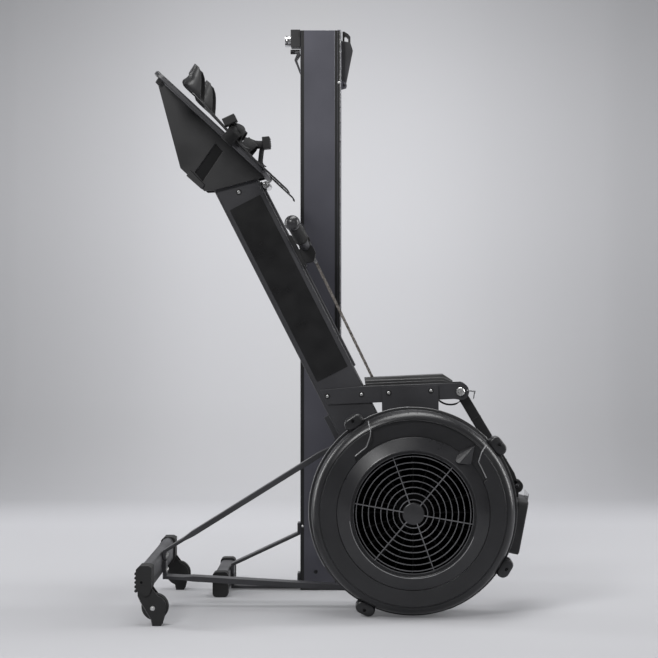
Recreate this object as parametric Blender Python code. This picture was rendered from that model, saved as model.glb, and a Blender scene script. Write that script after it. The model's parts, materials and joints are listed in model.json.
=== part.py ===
"""Air rowing machine, stored upright in its two sections.

Metres, +Z up. The flywheel section stands nose down on its fan housing and its front
foot, and the rail section stands on its rear foot behind it. While it is being built,
X is measured from the fan's axle, Y from the flywheel section's middle plane (the fan's
grille faces -Y) and Z from the floor. At the end the whole is centred on its own box.
"""

import math

import bmesh
import bpy
from mathutils import Matrix, Vector

# Clearances
SEAT_GAP = 0.0003
RUNNING_GAP = 0.0008

# Fan housing, round the axle
AXLE_Z = 0.236
HOUSING_RADIUS = 0.236
HOUSING_LIP = 0.006
LIP_STEP = 0.007
SEAM_Y = -0.140
SHELL_WALL = 0.003
COVER_DEPTH = 0.057
COVER_FILLET = 0.026
REAR_DEPTH = 0.092
REAR_FILLET = 0.018
RING_OUTER = 0.171
RING_RISE = 0.015
OPENING_RADIUS = 0.1405
NECK_WALL = 0.0025
WINDOW_START = 40
WINDOW_END = 118
WINDOW_MARGIN = 0.020
WINDOW_FOOT = 0.0055
WINDOW_FLARE = 0.46
WINDOW_DEPTH = 0.008
LUG_ANGLES = (38.0, 123.5, 243.6, 328.6)
LUG_RADIUS = 0.015
LUG_STANDOFF = 0.006
LUG_LENGTH = 0.046
LUG_DEPTH = 0.030
LUG_HOLE = 0.003

COLLAR_INNER = 0.033
COLLAR_OUTER = 0.044
SLOTS = 16
SLOT_LENGTH = 0.050
SLOT_WIDTH = 0.012
SLOT_RADIUS = 0.155

# Grille
GRILLE_RINGS = 8
GRILLE_PITCH = 0.0138
GRILLE_FIRST = 0.0318
GRILLE_BAR = 0.0022
GRILLE_DEPTH = 0.005
GRILLE_SPOKES = 6
SPOKE_ANGLE = 50
GRILLE_HUB = 0.025

# Damper
DAMPER_ANGLE = 48
TIP_MARGIN = 0.006
FLANGE_MARGIN = 0.002
DAMPER_SHEET = 0.0025

# Fan wheel, axle and sprocket
BLADES = 20
BLADE_SHEET = 0.003
FAN_CLEARANCE = 0.021
FAN_WIDTH = 0.088
FAN_HUB = 0.040
FAN_DISC = 0.006
AXLE_RADIUS = 0.0085
HUB_BORE = 0.021
BEARING_WIDTH = 0.009
FLYWHEEL_MARGIN = 0.020
HUB_BEARING = 0.0165
SPROCKET_TEETH = 32
CHAIN_PITCH = 0.00953
CHAIN_WIDTH = 0.005
CHAIN_HEIGHT = 0.0062

# Slanted main tube
TUBE_SLANT = 117.0
TUBE_DEPTH = 0.1035
TUBE_WIDTH = 0.070
TUBE_WALL = 0.0025
TUBE_CORNER = 0.006
TUBE_FOOT = (-0.09457, 0.36719)
TUBE_LENGTH = 0.710

TRAY_DEPTH = 0.005
TRAY_WIDTH = 0.040
TRAY_LOW = 0.190
TRAY_HIGH = 0.670

# Return drive inside the tube
RETURN_RADIUS = 0.0160
CORD_RADIUS = 0.0045
CORD_ROLLER_RADIUS = 0.0130
CORD_ROLLER_RIM = 0.004
CORD_ROLLER_RIGHT = 0.0130
CORD_ROLLER_DROP = 0.035
HANGER_REACH = 0.052
HANGER_TAIL = 0.008
PULLEY_CLEARANCE = 0.006

# Head of the flywheel section: side plates, axle plates, shroud
PLATE_SHEET = 0.004
ARM_PIVOT = (0.1125, 0.5020)
ARM_END_RADIUS = 0.0205
PIVOT_RADIUS = 0.005
SHROUD_HALF = 0.0350
SHROUD_WALL = 0.003

# Monitor arm and monitor
MONITOR_STANDOFF = 0.0196
KNUCKLE_ANGLE = 10.29
ARM_THICK = 0.0155
ARM_WIDTH = 0.040
ARM_BOSS = 0.0150
EAR_INNER = 0.012
KNUCKLE_RADIUS = 0.0095
KNUCKLE_PIN = 0.0035
MONITOR_ANGLE = -100.8
MONITOR_START = 0.024
MONITOR_END = 0.1495
MONITOR_BACK = 0.0023
MONITOR_FACE = 0.0283
MONITOR_WIDTH = 0.170
BUTTON_ALONG = 0.125
BUTTON_RADIUS = 0.0065
BUTTON_PITCH = 0.024
BUTTON_DEPTH = 0.0045

# Front foot, casters and legs
FOOT_X = -0.5925
FOOT_WIDTH = 0.027
FOOT_BOTTOM = 0.072
FOOT_TOP = 0.130
FOOT_CORNER = 0.012
FOOT_TUBE_HALF = 0.262
CAP_INNER = 0.240
CAP_OUTER = 0.292
CAP_RIBS = 6
CASTER = (-0.5695, 0.0405)
CASTER_RADIUS = 0.030
CASTER_LOW = 0.2615
CASTER_HIGH = 0.2815
CASTER_PIN = 0.004
LEG_STRAP_X = -0.5752
STRAP_WIDTH = 0.046
STRAP_THICK = 0.007
LEG_WIDTH = 0.038
LEG_THICK = 0.012

# Footrest
BOARD_STEP = (0.0769, -0.0025)
BOARD_ANGLE = 137.2
BOARD_LENGTH = 0.335
BOARD_THICK = 0.010
BOARD_HALF = 0.205
SIDE_INNER = 0.0353
SIDE_OUTER = 0.0453
SHOE_Y = 0.162
SHOE_WIDTH = 0.108
SHOE_SHEET = 0.004
STRAP_ALONG = 0.108
STRAP_BAND = 0.038
WEBBING = 0.0022

# Handle, hook and chain
HANDLE_UP = 0.4911
HANDLE_OUT = 0.0783
BAR_RADIUS = 0.011
GRIP_RADIUS = 0.0145
BALL_RADIUS = 0.0175
BAR_STRAIGHT = 0.034
GRIP_INNER = 0.092
GRIP_OUTER = 0.1925
SWEEP = 0.36
SWIVEL_UP = -0.0464
SWIVEL_OUT = 0.0051

# Rail section
RAIL_Y = 0.280
RAIL_LEFT = -0.2680
RAIL_RIGHT = -0.1672
RAIL_BOTTOM = 0.0090
RAIL_TOP = 1.380
RAIL_HALF = 0.022
RAIL_WALL = 0.003
TRACK_HALF = 0.031
TRACK_THICK = 0.009
LATCH_STANDOFF = 0.0080
LATCH_DROP = 0.134
LATCH_FOOT = 0.0070
KNOB_DROP = 0.025
REAR_FOOT_X = -0.4560
REAR_FOOT_HALF = 0.150
REAR_FOOT_WIDTH = 0.0375
REAR_FOOT_TOP = 0.0605
SEAT_LOW = 0.070
SEAT_HIGH = 0.315
SEAT_HALF = 0.165
SEAT_BACK = -0.125
SEAT_FACE = -0.087
CARRIAGE_INNER = 0.034
CARRIAGE_OUTER = 0.038
TOP_ROLLER = 0.0155
GUIDE_ROLLER = 0.009

ARC_STEPS = 6
ROUND_STEPS = 36
SMOOTH_ANGLE = math.radians(32)

bodies = {}
pieces = []


def clear_scene():
    for old in list(bpy.data.objects):
        bpy.data.objects.remove(old)


def paint(name, colour, roughness, metallic=0.0):
    finish = bpy.data.materials.new(name)
    finish.use_nodes = True
    surface = finish.node_tree.nodes["Principled BSDF"]
    surface.inputs["Base Color"].default_value = (*colour, 1)
    surface.inputs["Roughness"].default_value = roughness
    surface.inputs["Metallic"].default_value = metallic
    finish.diffuse_color = (*colour, 1)
    return finish


def add_body(name, pivot=(0, 0, 0), parent=None):
    """An empty on the joint's axis, which carries the pieces of one moving body."""
    empty = bpy.data.objects.new(f"{name}_joint", None)
    bpy.context.scene.collection.objects.link(empty)
    empty.empty_display_size = 0.02
    spot = Vector(pivot)
    bodies[name] = (empty, spot)
    if parent:
        carrier, carrier_spot = bodies[parent]
        empty.parent = carrier
        empty.location = spot - carrier_spot
    else:
        empty.location = spot


def add_piece(name, bm, finish, body):
    """Turns a bmesh in building coordinates into a named object on its body."""
    carrier, spot = bodies[body]
    bmesh.ops.recalc_face_normals(bm, faces=bm.faces)
    bmesh.ops.translate(bm, verts=bm.verts, vec=-spot)
    mesh = bpy.data.meshes.new(name)
    bm.to_mesh(mesh)
    bm.free()
    mesh.materials.append(finish)
    mesh.shade_smooth()
    mesh.set_sharp_from_angle(angle=SMOOTH_ANGLE)
    piece = bpy.data.objects.new(name, mesh)
    bpy.context.scene.collection.objects.link(piece)
    piece.parent = carrier
    pieces.append(piece)
    return piece


def shape_with(piece, operation, *tools):
    """Cuts hidden tool shapes from a piece, or joins them to it."""
    for tool in tools:
        helper = add_piece(f"{piece.name}_{operation.lower()}", tool, piece.data.materials[0], "machine")
        pieces.remove(helper)
        helper.hide_render = True
        helper.display_type = "WIRE"
        boolean = piece.modifiers.new(operation.title(), "BOOLEAN")
        boolean.operation = operation
        boolean.object = helper


def cut(piece, *tools):
    shape_with(piece, "DIFFERENCE", *tools)


def join(piece, *tools):
    shape_with(piece, "UNION", *tools)


def loft(rings, closed_path=False):
    """Skins a list of equal rings of points, and caps the ends."""
    bm = bmesh.new()
    loops = [[bm.verts.new(point) for point in ring] for ring in rings]
    pairs = list(zip(loops, loops[1:]))
    if closed_path:
        pairs.append((loops[-1], loops[0]))
    for near, far in pairs:
        for i, corner in enumerate(near):
            j = (i + 1) % len(near)
            bm.faces.new((corner, near[j], far[j], far[i]))
    if not closed_path:
        bm.faces.new(loops[0])
        bm.faces.new(reversed(loops[-1]))
    bmesh.ops.recalc_face_normals(bm, faces=bm.faces)
    return bm


def prism_y(outline, low, high):
    """Extrudes an outline of (x, z) points from y low to y high."""
    return loft([[(x, y, z) for x, z in outline] for y in (low, high)])


def prism_z(outline, low, high):
    return loft([[(x, y, z) for x, y in outline] for z in (low, high)])


def prism_x(outline, low, high):
    return loft([[(x, y, z) for y, z in outline] for x in (low, high)])


def box(low, high):
    (x0, y0, z0), (x1, y1, z1) = low, high
    return prism_z([(x0, y0), (x1, y0), (x1, y1), (x0, y1)], z0, z1)


def arc(centre, radius, start, end, steps=ARC_STEPS):
    """Points on an arc, with angles in degrees."""
    points = []
    for i in range(steps + 1):
        angle = math.radians(start + (end - start) * i / steps)
        points.append((centre[0] + radius * math.cos(angle), centre[1] + radius * math.sin(angle)))
    return points


def circle(centre, radius, steps=ROUND_STEPS):
    return arc(centre, radius, 0, 360 - 360 / steps, steps - 1)


def rounded(width, height, radius, steps=3, centre=(0, 0)):
    """A rectangle with rounded corners, anticlockwise."""
    outline = []
    for sx, sy, start in ((1, 1, 0), (-1, 1, 90), (-1, -1, 180), (1, -1, 270)):
        middle = (centre[0] + sx * (width / 2 - radius), centre[1] + sy * (height / 2 - radius))
        outline += arc(middle, radius, start, start + 90, steps)
    return outline


def turned(profile, centre=(0, 0), steps=ROUND_STEPS):
    """Turns a closed profile of (radius, y) points about an axis along Y through centre (x, z)."""
    bm = bmesh.new()
    verts = [bm.verts.new((radius, y, 0)) for radius, y in profile]
    edges = [bm.edges.new((verts[i - 1], verts[i])) for i in range(len(verts))]
    bmesh.ops.spin(bm, geom=verts + edges, cent=(0, 0, 0), axis=(0, 1, 0), angle=math.tau, steps=steps,
                   use_merge=True)
    bmesh.ops.remove_doubles(bm, verts=bm.verts, dist=1e-6)
    bmesh.ops.translate(bm, verts=bm.verts, vec=(centre[0], 0, centre[1]))
    bmesh.ops.recalc_face_normals(bm, faces=bm.faces)
    return bm


def disc(centre, radius, low, high, steps=18):
    return prism_y(circle(centre, radius, steps), low, high)


def slant(angle):
    """The (x, z) direction at an angle in degrees from +X."""
    return (math.cos(math.radians(angle)), math.sin(math.radians(angle)))


def turn(points, angle, centre=(0, 0)):
    """Turns (x, z) points about a centre, and moves them there."""
    c, s = slant(angle)
    return [(centre[0] + c * x - s * z, centre[1] + s * x + c * z) for x, z in points]


def path_direction(path, i):
    """The direction of a flat path at its point i, and how much a mitre stretches there."""
    point = Vector(path[i])
    before = (point - Vector(path[i - 1])).normalized() if i > 0 else None
    after = (Vector(path[i + 1]) - point).normalized() if i < len(path) - 1 else None
    run = ((before or Vector((0, 0))) + (after or Vector((0, 0)))).normalized()
    return run, 1 / max(0.5, run.dot(before or after))


def swept_bar(path, section):
    """A bar in the XZ plane: section(i) gives (thickness, width) at each point of the path."""
    rings = []
    for i, point in enumerate(path):
        run, bend = path_direction(path, i)
        side = Vector((-run.y, run.x))
        thick, width = section(i)
        ring = []
        for across, along_y in ((-1, -1), (1, -1), (1, 1), (-1, 1)):
            offset = side * (across * thick / 2 * bend)
            ring.append((point[0] + offset.x, along_y * width / 2, point[1] + offset.y))
        rings.append(ring)
    return loft(rings)


def move(bm, vector):
    bmesh.ops.translate(bm, verts=bm.verts, vec=vector)
    return bm


def tube_along(name, points, radius, finish, body, sides=1, cyclic=False):
    """A round cord or bar along a smooth line of points."""
    carrier, spot = bodies[body]
    curve = bpy.data.curves.new(name, "CURVE")
    curve.dimensions = "3D"
    curve.bevel_depth = radius
    curve.bevel_resolution = sides
    curve.use_fill_caps = not cyclic
    spline = curve.splines.new("POLY")
    spline.points.add(len(points) - 1)
    for place, point in zip(spline.points, points):
        place.co = (*(Vector(point) - spot), 1)
    spline.use_cyclic_u = cyclic
    curve.materials.append(finish)
    piece = bpy.data.objects.new(name, curve)
    bpy.context.scene.collection.objects.link(piece)
    piece.parent = carrier
    pieces.append(piece)
    return piece


AXLE = (0, AXLE_Z)
SHELL_RADIUS = HOUSING_RADIUS - LIP_STEP
WINDOW_OUTER = SHELL_RADIUS - WINDOW_MARGIN
DAMPER_FLANGE = WINDOW_OUTER - FLANGE_MARGIN
DAMPER_TIP = WINDOW_OUTER - TIP_MARGIN
FAN_RADIUS = SHELL_RADIUS - SHELL_WALL - FAN_CLEARANCE
FLYWHEEL_RADIUS = FAN_RADIUS - FLYWHEEL_MARGIN
LUG_REACH = HOUSING_RADIUS + LUG_STANDOFF
COVER_FRONT = SEAM_Y - COVER_DEPTH
REAR_BACK = SEAM_Y + REAR_DEPTH
FLANGE_FRONT = COVER_FRONT + WINDOW_DEPTH
FLANGE_BACK = FLANGE_FRONT + DAMPER_SHEET
WEB_FRONT = FLANGE_BACK + RUNNING_GAP
WEB_BACK = WEB_FRONT + SHELL_WALL
NECK_OUTER = OPENING_RADIUS - 0.0015
NECK_INNER = NECK_OUTER - NECK_WALL
NECK_FRONT = COVER_FRONT - RING_RISE + 0.003
GRILLE_FRONT = COVER_FRONT - 0.006
FAN_FRONT = WEB_BACK + 0.010
SPROCKET_RADIUS = CHAIN_PITCH / 2 / math.sin(math.pi / SPROCKET_TEETH)
TUBE_UP = (math.cos(math.radians(TUBE_SLANT)), math.sin(math.radians(TUBE_SLANT)))
TUBE_RIGHT = (TUBE_UP[1], -TUBE_UP[0])
TUBE_TOP = (TUBE_FOOT[0] + TUBE_UP[0] * TUBE_LENGTH, TUBE_FOOT[1] + TUBE_UP[1] * TUBE_LENGTH)
BOARD_TOE = (TUBE_TOP[0] + BOARD_STEP[0], TUBE_TOP[1] + BOARD_STEP[1])
LATCH_PIVOT = (RAIL_RIGHT + LATCH_STANDOFF, RAIL_TOP - LATCH_DROP)
KNOB_Z = RAIL_TOP - KNOB_DROP
CORD_ROLLER_UP = TUBE_LENGTH - CORD_ROLLER_DROP
RETURN_UP = CORD_ROLLER_UP - CORD_ROLLER_RADIUS - CORD_ROLLER_RIM - PULLEY_CLEARANCE - HANGER_REACH
PLATE_INNER = TUBE_WIDTH / 2 + SEAT_GAP
PLATE_OUTER = PLATE_INNER + PLATE_SHEET
AXLE_PLATE_INNER = PLATE_OUTER + SEAT_GAP
AXLE_PLATE_OUTER = AXLE_PLATE_INNER + PLATE_SHEET


def polar(radius, angle, centre=AXLE):
    c, s = slant(angle)
    return (centre[0] + radius * c, centre[1] + radius * s)


KNUCKLE = polar(SHELL_RADIUS + MONITOR_STANDOFF, KNUCKLE_ANGLE)
ARM_REACH = math.dist(ARM_PIVOT, KNUCKLE)
ARM_ANGLE = math.degrees(math.atan2(KNUCKLE[1] - ARM_PIVOT[1], KNUCKLE[0] - ARM_PIVOT[0]))


def lug_outline(angle):
    """A stadium lying along the housing's rim."""
    run = LUG_LENGTH / 2 - LUG_RADIUS
    shape = arc((run, 0), LUG_RADIUS, -90, 90, 4) + arc((-run, 0), LUG_RADIUS, 90, 270, 4)
    return turn(shape, angle - 90, polar(LUG_REACH, angle))


def make_fan_cover(finish):
    """The damper-side half of the housing: lip, rounded shell, window, web and inlet neck."""
    profile = [(HOUSING_RADIUS, SEAM_Y - SEAT_GAP), (HOUSING_RADIUS, SEAM_Y - HOUSING_LIP)]
    profile += [(SHELL_RADIUS, SEAM_Y - HOUSING_LIP - 0.002)]
    corner = (SHELL_RADIUS - COVER_FILLET, COVER_FRONT + COVER_FILLET)
    profile += arc(corner, COVER_FILLET, 0, -90, 5)
    inner_edge = RING_OUTER + RUNNING_GAP
    slot = DAMPER_FLANGE + RUNNING_GAP + 0.001
    profile += [(inner_edge, COVER_FRONT), (inner_edge, COVER_FRONT + SHELL_WALL)]
    profile += [(slot, COVER_FRONT + SHELL_WALL), (slot, WEB_FRONT), (NECK_OUTER, WEB_FRONT)]
    profile += [(NECK_OUTER, NECK_FRONT), (NECK_INNER, NECK_FRONT), (NECK_INNER, WEB_BACK)]
    profile += [(SHELL_RADIUS - SHELL_WALL - 0.006, WEB_BACK), (SHELL_RADIUS - SHELL_WALL, WEB_BACK + 0.008)]
    profile += [(SHELL_RADIUS - SHELL_WALL, SEAM_Y - SEAT_GAP)]
    cover = add_piece("fan_cover", turned(profile, AXLE), finish, "machine")
    for angle in LUG_ANGLES:
        lug = prism_y(lug_outline(angle), SEAM_Y - LUG_DEPTH, SEAM_Y - SEAT_GAP)
        trimmed = trim_lug(lug)
        join(cover, trimmed)
        cut(cover, disc(polar(LUG_REACH + 0.004, angle), LUG_HOLE, SEAM_Y - LUG_DEPTH - 0.01, SEAM_Y + 0.01, 12))
    cut(cover, prism_y(window_outline(), COVER_FRONT - 0.01, COVER_FRONT + SHELL_WALL + 0.001))


def trim_lug(lug):
    """Keeps a lug outside the housing's inner wall, by a plane square to its own radius."""
    middle = sum((v.co for v in lug.verts), Vector()) / len(lug.verts)
    outward = Vector((middle.x - AXLE[0], 0, middle.z - AXLE[1])).normalized()
    face = Vector((AXLE[0], 0, AXLE[1])) + outward * (SHELL_RADIUS - SHELL_WALL / 2)
    cut_geometry = lug.verts[:] + lug.edges[:] + lug.faces[:]
    bmesh.ops.bisect_plane(lug, geom=cut_geometry, plane_co=face, plane_no=-outward, clear_outer=True)
    bmesh.ops.holes_fill(lug, edges=[e for e in lug.edges if e.is_boundary])
    return lug


def window_outline():
    """The damper window: straight-sided with two flared lower corners."""
    foot = RING_OUTER + WINDOW_FOOT
    flare = foot + WINDOW_FLARE * (WINDOW_OUTER - foot)
    shape = [polar(RING_OUTER - 0.01, angle) for angle in range(22, 139, 4)]
    shape += [polar(foot, 138), polar(foot, WINDOW_END + 4), polar(flare, WINDOW_END)]
    shape += [polar(WINDOW_OUTER, angle) for angle in range(WINDOW_END - 2, WINDOW_START, -4)]
    shape += [polar(flare, WINDOW_START - 1), polar(foot, WINDOW_START - 4), polar(foot, 22)]
    return shape


def make_rear_cover(finish):
    """The chain-side half: a dish with air slots and the collar that seats on the axle plate."""
    corner = (SHELL_RADIUS - REAR_FILLET, REAR_BACK - REAR_FILLET)
    profile = [(HOUSING_RADIUS, SEAM_Y + SEAT_GAP), (SHELL_RADIUS - SHELL_WALL, SEAM_Y + SEAT_GAP)]
    profile += arc(corner, REAR_FILLET - SHELL_WALL, 0, 90, 2)
    seat = -AXLE_PLATE_OUTER - SEAT_GAP
    profile += [(COLLAR_INNER, REAR_BACK - SHELL_WALL), (COLLAR_INNER, seat), (COLLAR_OUTER, seat),
                (COLLAR_OUTER, REAR_BACK)]
    profile += arc(corner, REAR_FILLET, 90, 0, 3)
    profile += [(SHELL_RADIUS, SEAM_Y + HOUSING_LIP + 0.002), (HOUSING_RADIUS, SEAM_Y + HOUSING_LIP)]
    cover = add_piece("rear_cover", turned(profile, AXLE), finish, "machine")
    for angle in LUG_ANGLES:
        lug = prism_y(lug_outline(angle), SEAM_Y + SEAT_GAP, SEAM_Y + LUG_DEPTH / 2)
        join(cover, trim_lug(lug))
        cut(cover, disc(polar(LUG_REACH + 0.004, angle), LUG_HOLE, SEAM_Y - 0.01, SEAM_Y + LUG_DEPTH, 12))
    for k in range(SLOTS):
        angle = 360 * (k + 0.5) / SLOTS
        slot = turn(rounded(SLOT_LENGTH, SLOT_WIDTH, SLOT_WIDTH / 2 - 0.0002, 1), angle,
                    polar(SLOT_RADIUS, angle))
        cut(cover, prism_y(slot, REAR_BACK - 0.01, REAR_BACK + 0.01))


def make_grille(finish):
    """Round bars on spokes, seated in the inlet neck behind a plain middle disc."""
    low, high = GRILLE_FRONT, GRILLE_FRONT + GRILLE_DEPTH
    grille = add_piece("intake_grille", disc(AXLE, GRILLE_HUB, low, high, 24), finish, "machine")
    for ring in range(GRILLE_RINGS):
        radius = GRILLE_FIRST + ring * GRILLE_PITCH
        half = GRILLE_BAR / 2
        section = [(radius - half, high), (radius + half, high), (radius, low + 0.001)]
        join(grille, turned(section, AXLE, 20))
    reach = NECK_INNER * math.cos(math.pi / ROUND_STEPS) - SEAT_GAP
    start = (GRILLE_HUB - 0.004 + reach) / 2
    length = reach - GRILLE_HUB + 0.004
    for k in range(GRILLE_SPOKES):
        angle = SPOKE_ANGLE + 360 * k / GRILLE_SPOKES
        bar = turn([(-length / 2, -0.0012), (length / 2, -0.0012), (length / 2, 0.0012), (-length / 2, 0.0012)],
                   angle, polar(start, angle))
        join(grille, prism_y(bar, low, high + 0.003))


def make_damper(finish):
    """The ring that turns on the neck, its flange under the window, and its pointed lever."""
    bore = NECK_OUTER + RUNNING_GAP
    nose = COVER_FRONT - RING_RISE
    profile = [(RING_OUTER, FLANGE_FRONT), (RING_OUTER, COVER_FRONT - 0.001), (OPENING_RADIUS + 0.002, nose)]
    profile += [(bore, nose), (bore, FLANGE_BACK), (bore + 0.003, FLANGE_BACK), (bore + 0.003, nose + 0.004)]
    profile += [(RING_OUTER - 0.004, COVER_FRONT + 0.003), (RING_OUTER - 0.004, FLANGE_BACK)]
    profile += [(DAMPER_FLANGE, FLANGE_BACK), (DAMPER_FLANGE, FLANGE_FRONT)]
    ring = add_piece("damper_ring", turned(profile, AXLE, 36), finish, "damper")
    wedge = bmesh.new()
    deep = FLANGE_FRONT + 0.001
    edge = RING_OUTER
    corners = [(edge - 0.013, 6, COVER_FRONT - 0.0045), (edge + 0.0015, -7, COVER_FRONT),
               (edge - 0.021, 3.5, COVER_FRONT - 0.012), (edge - 0.008, -5.5, COVER_FRONT - 0.006),
               (edge - 0.019, 0, COVER_FRONT - 0.0155), (DAMPER_TIP, 0, COVER_FRONT - 0.006),
               (DAMPER_TIP + 0.004, 0, deep), (edge - 0.005, 6.5, deep), (edge + 0.002, -7.5, deep),
               (edge - 0.013, 0, COVER_FRONT)]
    for radius, side, y in corners:
        x, z = polar(radius, DAMPER_ANGLE + side)
        wedge.verts.new((x, y, z))
    hull = bmesh.ops.convex_hull(wedge, input=wedge.verts)
    inner = [v for v in hull["geom_interior"] if isinstance(v, bmesh.types.BMVert)]
    bmesh.ops.delete(wedge, geom=inner, context="VERTS")
    bmesh.ops.recalc_face_normals(wedge, faces=wedge.faces)
    join(ring, wedge)


def make_fan(steel, plastic):
    """A wheel of flat radial blades on a steel disc, on two bearings."""
    front = FAN_FRONT
    back = front + FAN_WIDTH
    outline = []
    for k in range(BLADES):
        angle = 360 * k / BLADES
        half_root = math.degrees(BLADE_SHEET / 2 / FAN_HUB)
        half_tip = math.degrees(BLADE_SHEET / 2 / FAN_RADIUS)
        outline += [polar(FAN_HUB, angle - half_root), polar(FAN_RADIUS, angle - half_tip),
                    polar(FAN_RADIUS, angle + half_tip), polar(FAN_HUB, angle + half_root)]
    fan = add_piece("fan_wheel", prism_y(outline, front, back), plastic, "fan")
    flywheel = [(HUB_BORE, back - 0.004), (FLYWHEEL_RADIUS, back - 0.004), (FLYWHEEL_RADIUS, back + FAN_DISC),
                (HUB_BORE, back + FAN_DISC)]
    join(fan, turned(flywheel, AXLE, 40))
    bore = AXLE_RADIUS + RUNNING_GAP
    cut(fan, disc(AXLE, bore, front - 0.02, back + 0.02))
    low = back + FAN_DISC - BEARING_WIDTH
    cut(fan, disc(AXLE, HUB_BEARING + SEAT_GAP, low, back + 0.02))
    race = [(AXLE_RADIUS + SEAT_GAP, low + 0.0005), (HUB_BEARING, low + 0.0005), (HUB_BEARING, low + BEARING_WIDTH),
            (AXLE_RADIUS + SEAT_GAP, low + BEARING_WIDTH)]
    add_piece("hub_bearing", turned(race, AXLE, 24), steel, "machine")


def tube_point(up, right=0.0):
    """A point (x, z) measured from the middle of the main tube's lower end, along the tube and across it."""
    return (TUBE_FOOT[0] + TUBE_UP[0] * up + TUBE_RIGHT[0] * right,
            TUBE_FOOT[1] + TUBE_UP[1] * up + TUBE_RIGHT[1] * right)


HANDLE = tube_point(HANDLE_UP, HANDLE_OUT)
CHAIN_END = tube_point(HANDLE_UP + SWIVEL_UP, HANDLE_OUT + SWIVEL_OUT)


def make_axle(steel):
    axle = add_piece("axle", disc(AXLE, AXLE_RADIUS, FAN_FRONT - 0.003, AXLE_PLATE_OUTER + 0.012), steel, "machine")
    for side in (-1, 1):
        near, far = sorted((side * (AXLE_PLATE_OUTER + SEAT_GAP), side * (AXLE_PLATE_OUTER + 0.007)))
        join(axle, prism_y(circle(AXLE, 0.0145, 6), near, far))


def chain_strip(path, closed=False):
    """Link plates seen from the side, as a strip that narrows between its rollers."""
    upper, lower = [], []
    for i, point in enumerate(path):
        before, after = path[max(i - 1, 0)], path[min(i + 1, len(path) - 1)]
        run = Vector((after[0] - before[0], after[1] - before[1])).normalized()
        half = CHAIN_HEIGHT / 2 * (1.0 if i % 2 == 0 else 0.55)
        upper.append((point[0] - run.y * half, point[1] + run.x * half))
        lower.append((point[0] + run.y * half, point[1] - run.x * half))
    rings = []
    for (ux, uz), (lx, lz) in zip(upper, lower):
        rings.append([(ux, -CHAIN_WIDTH / 2, uz), (lx, -CHAIN_WIDTH / 2, lz),
                      (lx, CHAIN_WIDTH / 2, lz), (ux, CHAIN_WIDTH / 2, uz)])
    return loft(rings)


def stations(start, end, step):
    """Points from start to end, about a step apart."""
    run = math.dist(start, end)
    count = max(1, round(run / step))
    return [(start[0] + (end[0] - start[0]) * i / count, start[1] + (end[1] - start[1]) * i / count)
            for i in range(count + 1)]


def make_sprocket(steel):
    """The chain wheel on its one-way clutch, between the axle plates."""
    tip = SPROCKET_RADIUS - CHAIN_HEIGHT / 2 - SEAT_GAP
    outline = []
    for k in range(SPROCKET_TEETH):
        angle = 360 * k / SPROCKET_TEETH
        outline += [polar(tip - 0.003, angle - 2.8), polar(tip, angle), polar(tip - 0.003, angle + 2.8)]
    wheel = add_piece("sprocket", prism_y(outline, -0.0015, 0.0015), steel, "sprocket")
    reach = AXLE_PLATE_INNER - RUNNING_GAP
    join(wheel, turned([(0.006, -reach), (0.020, -reach), (0.020, reach), (0.006, reach)], AXLE, 16))
    cut(wheel, disc(AXLE, AXLE_RADIUS + RUNNING_GAP, -0.06, 0.06))


def make_chain(steel):
    """The chain from the handle round the chain wheel, and its return run inside the tube."""
    end = CHAIN_END
    away = (end[0] - AXLE[0], end[1] - AXLE[1])
    start_angle = math.degrees(math.atan2(away[1], away[0]) - math.acos(SPROCKET_RADIUS / math.hypot(*away)))
    end_angle = TUBE_SLANT + 90 - 360
    touch = polar(SPROCKET_RADIUS, start_angle)
    leave = polar(SPROCKET_RADIUS, end_angle)
    wrap = math.radians(start_angle - end_angle) * SPROCKET_RADIUS
    path = stations(end, touch, CHAIN_PITCH)
    steps = round(wrap / CHAIN_PITCH)
    path += [polar(SPROCKET_RADIUS, start_angle + (end_angle - start_angle) * i / steps) for i in range(1, steps + 1)]
    up_run = (leave[0] + TUBE_UP[0] * 0.08, leave[1] + TUBE_UP[1] * 0.08)
    path += stations(leave, up_run, CHAIN_PITCH)[1:]
    add_piece("drive_chain", chain_strip(path), steel, "machine")
    return up_run


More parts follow.
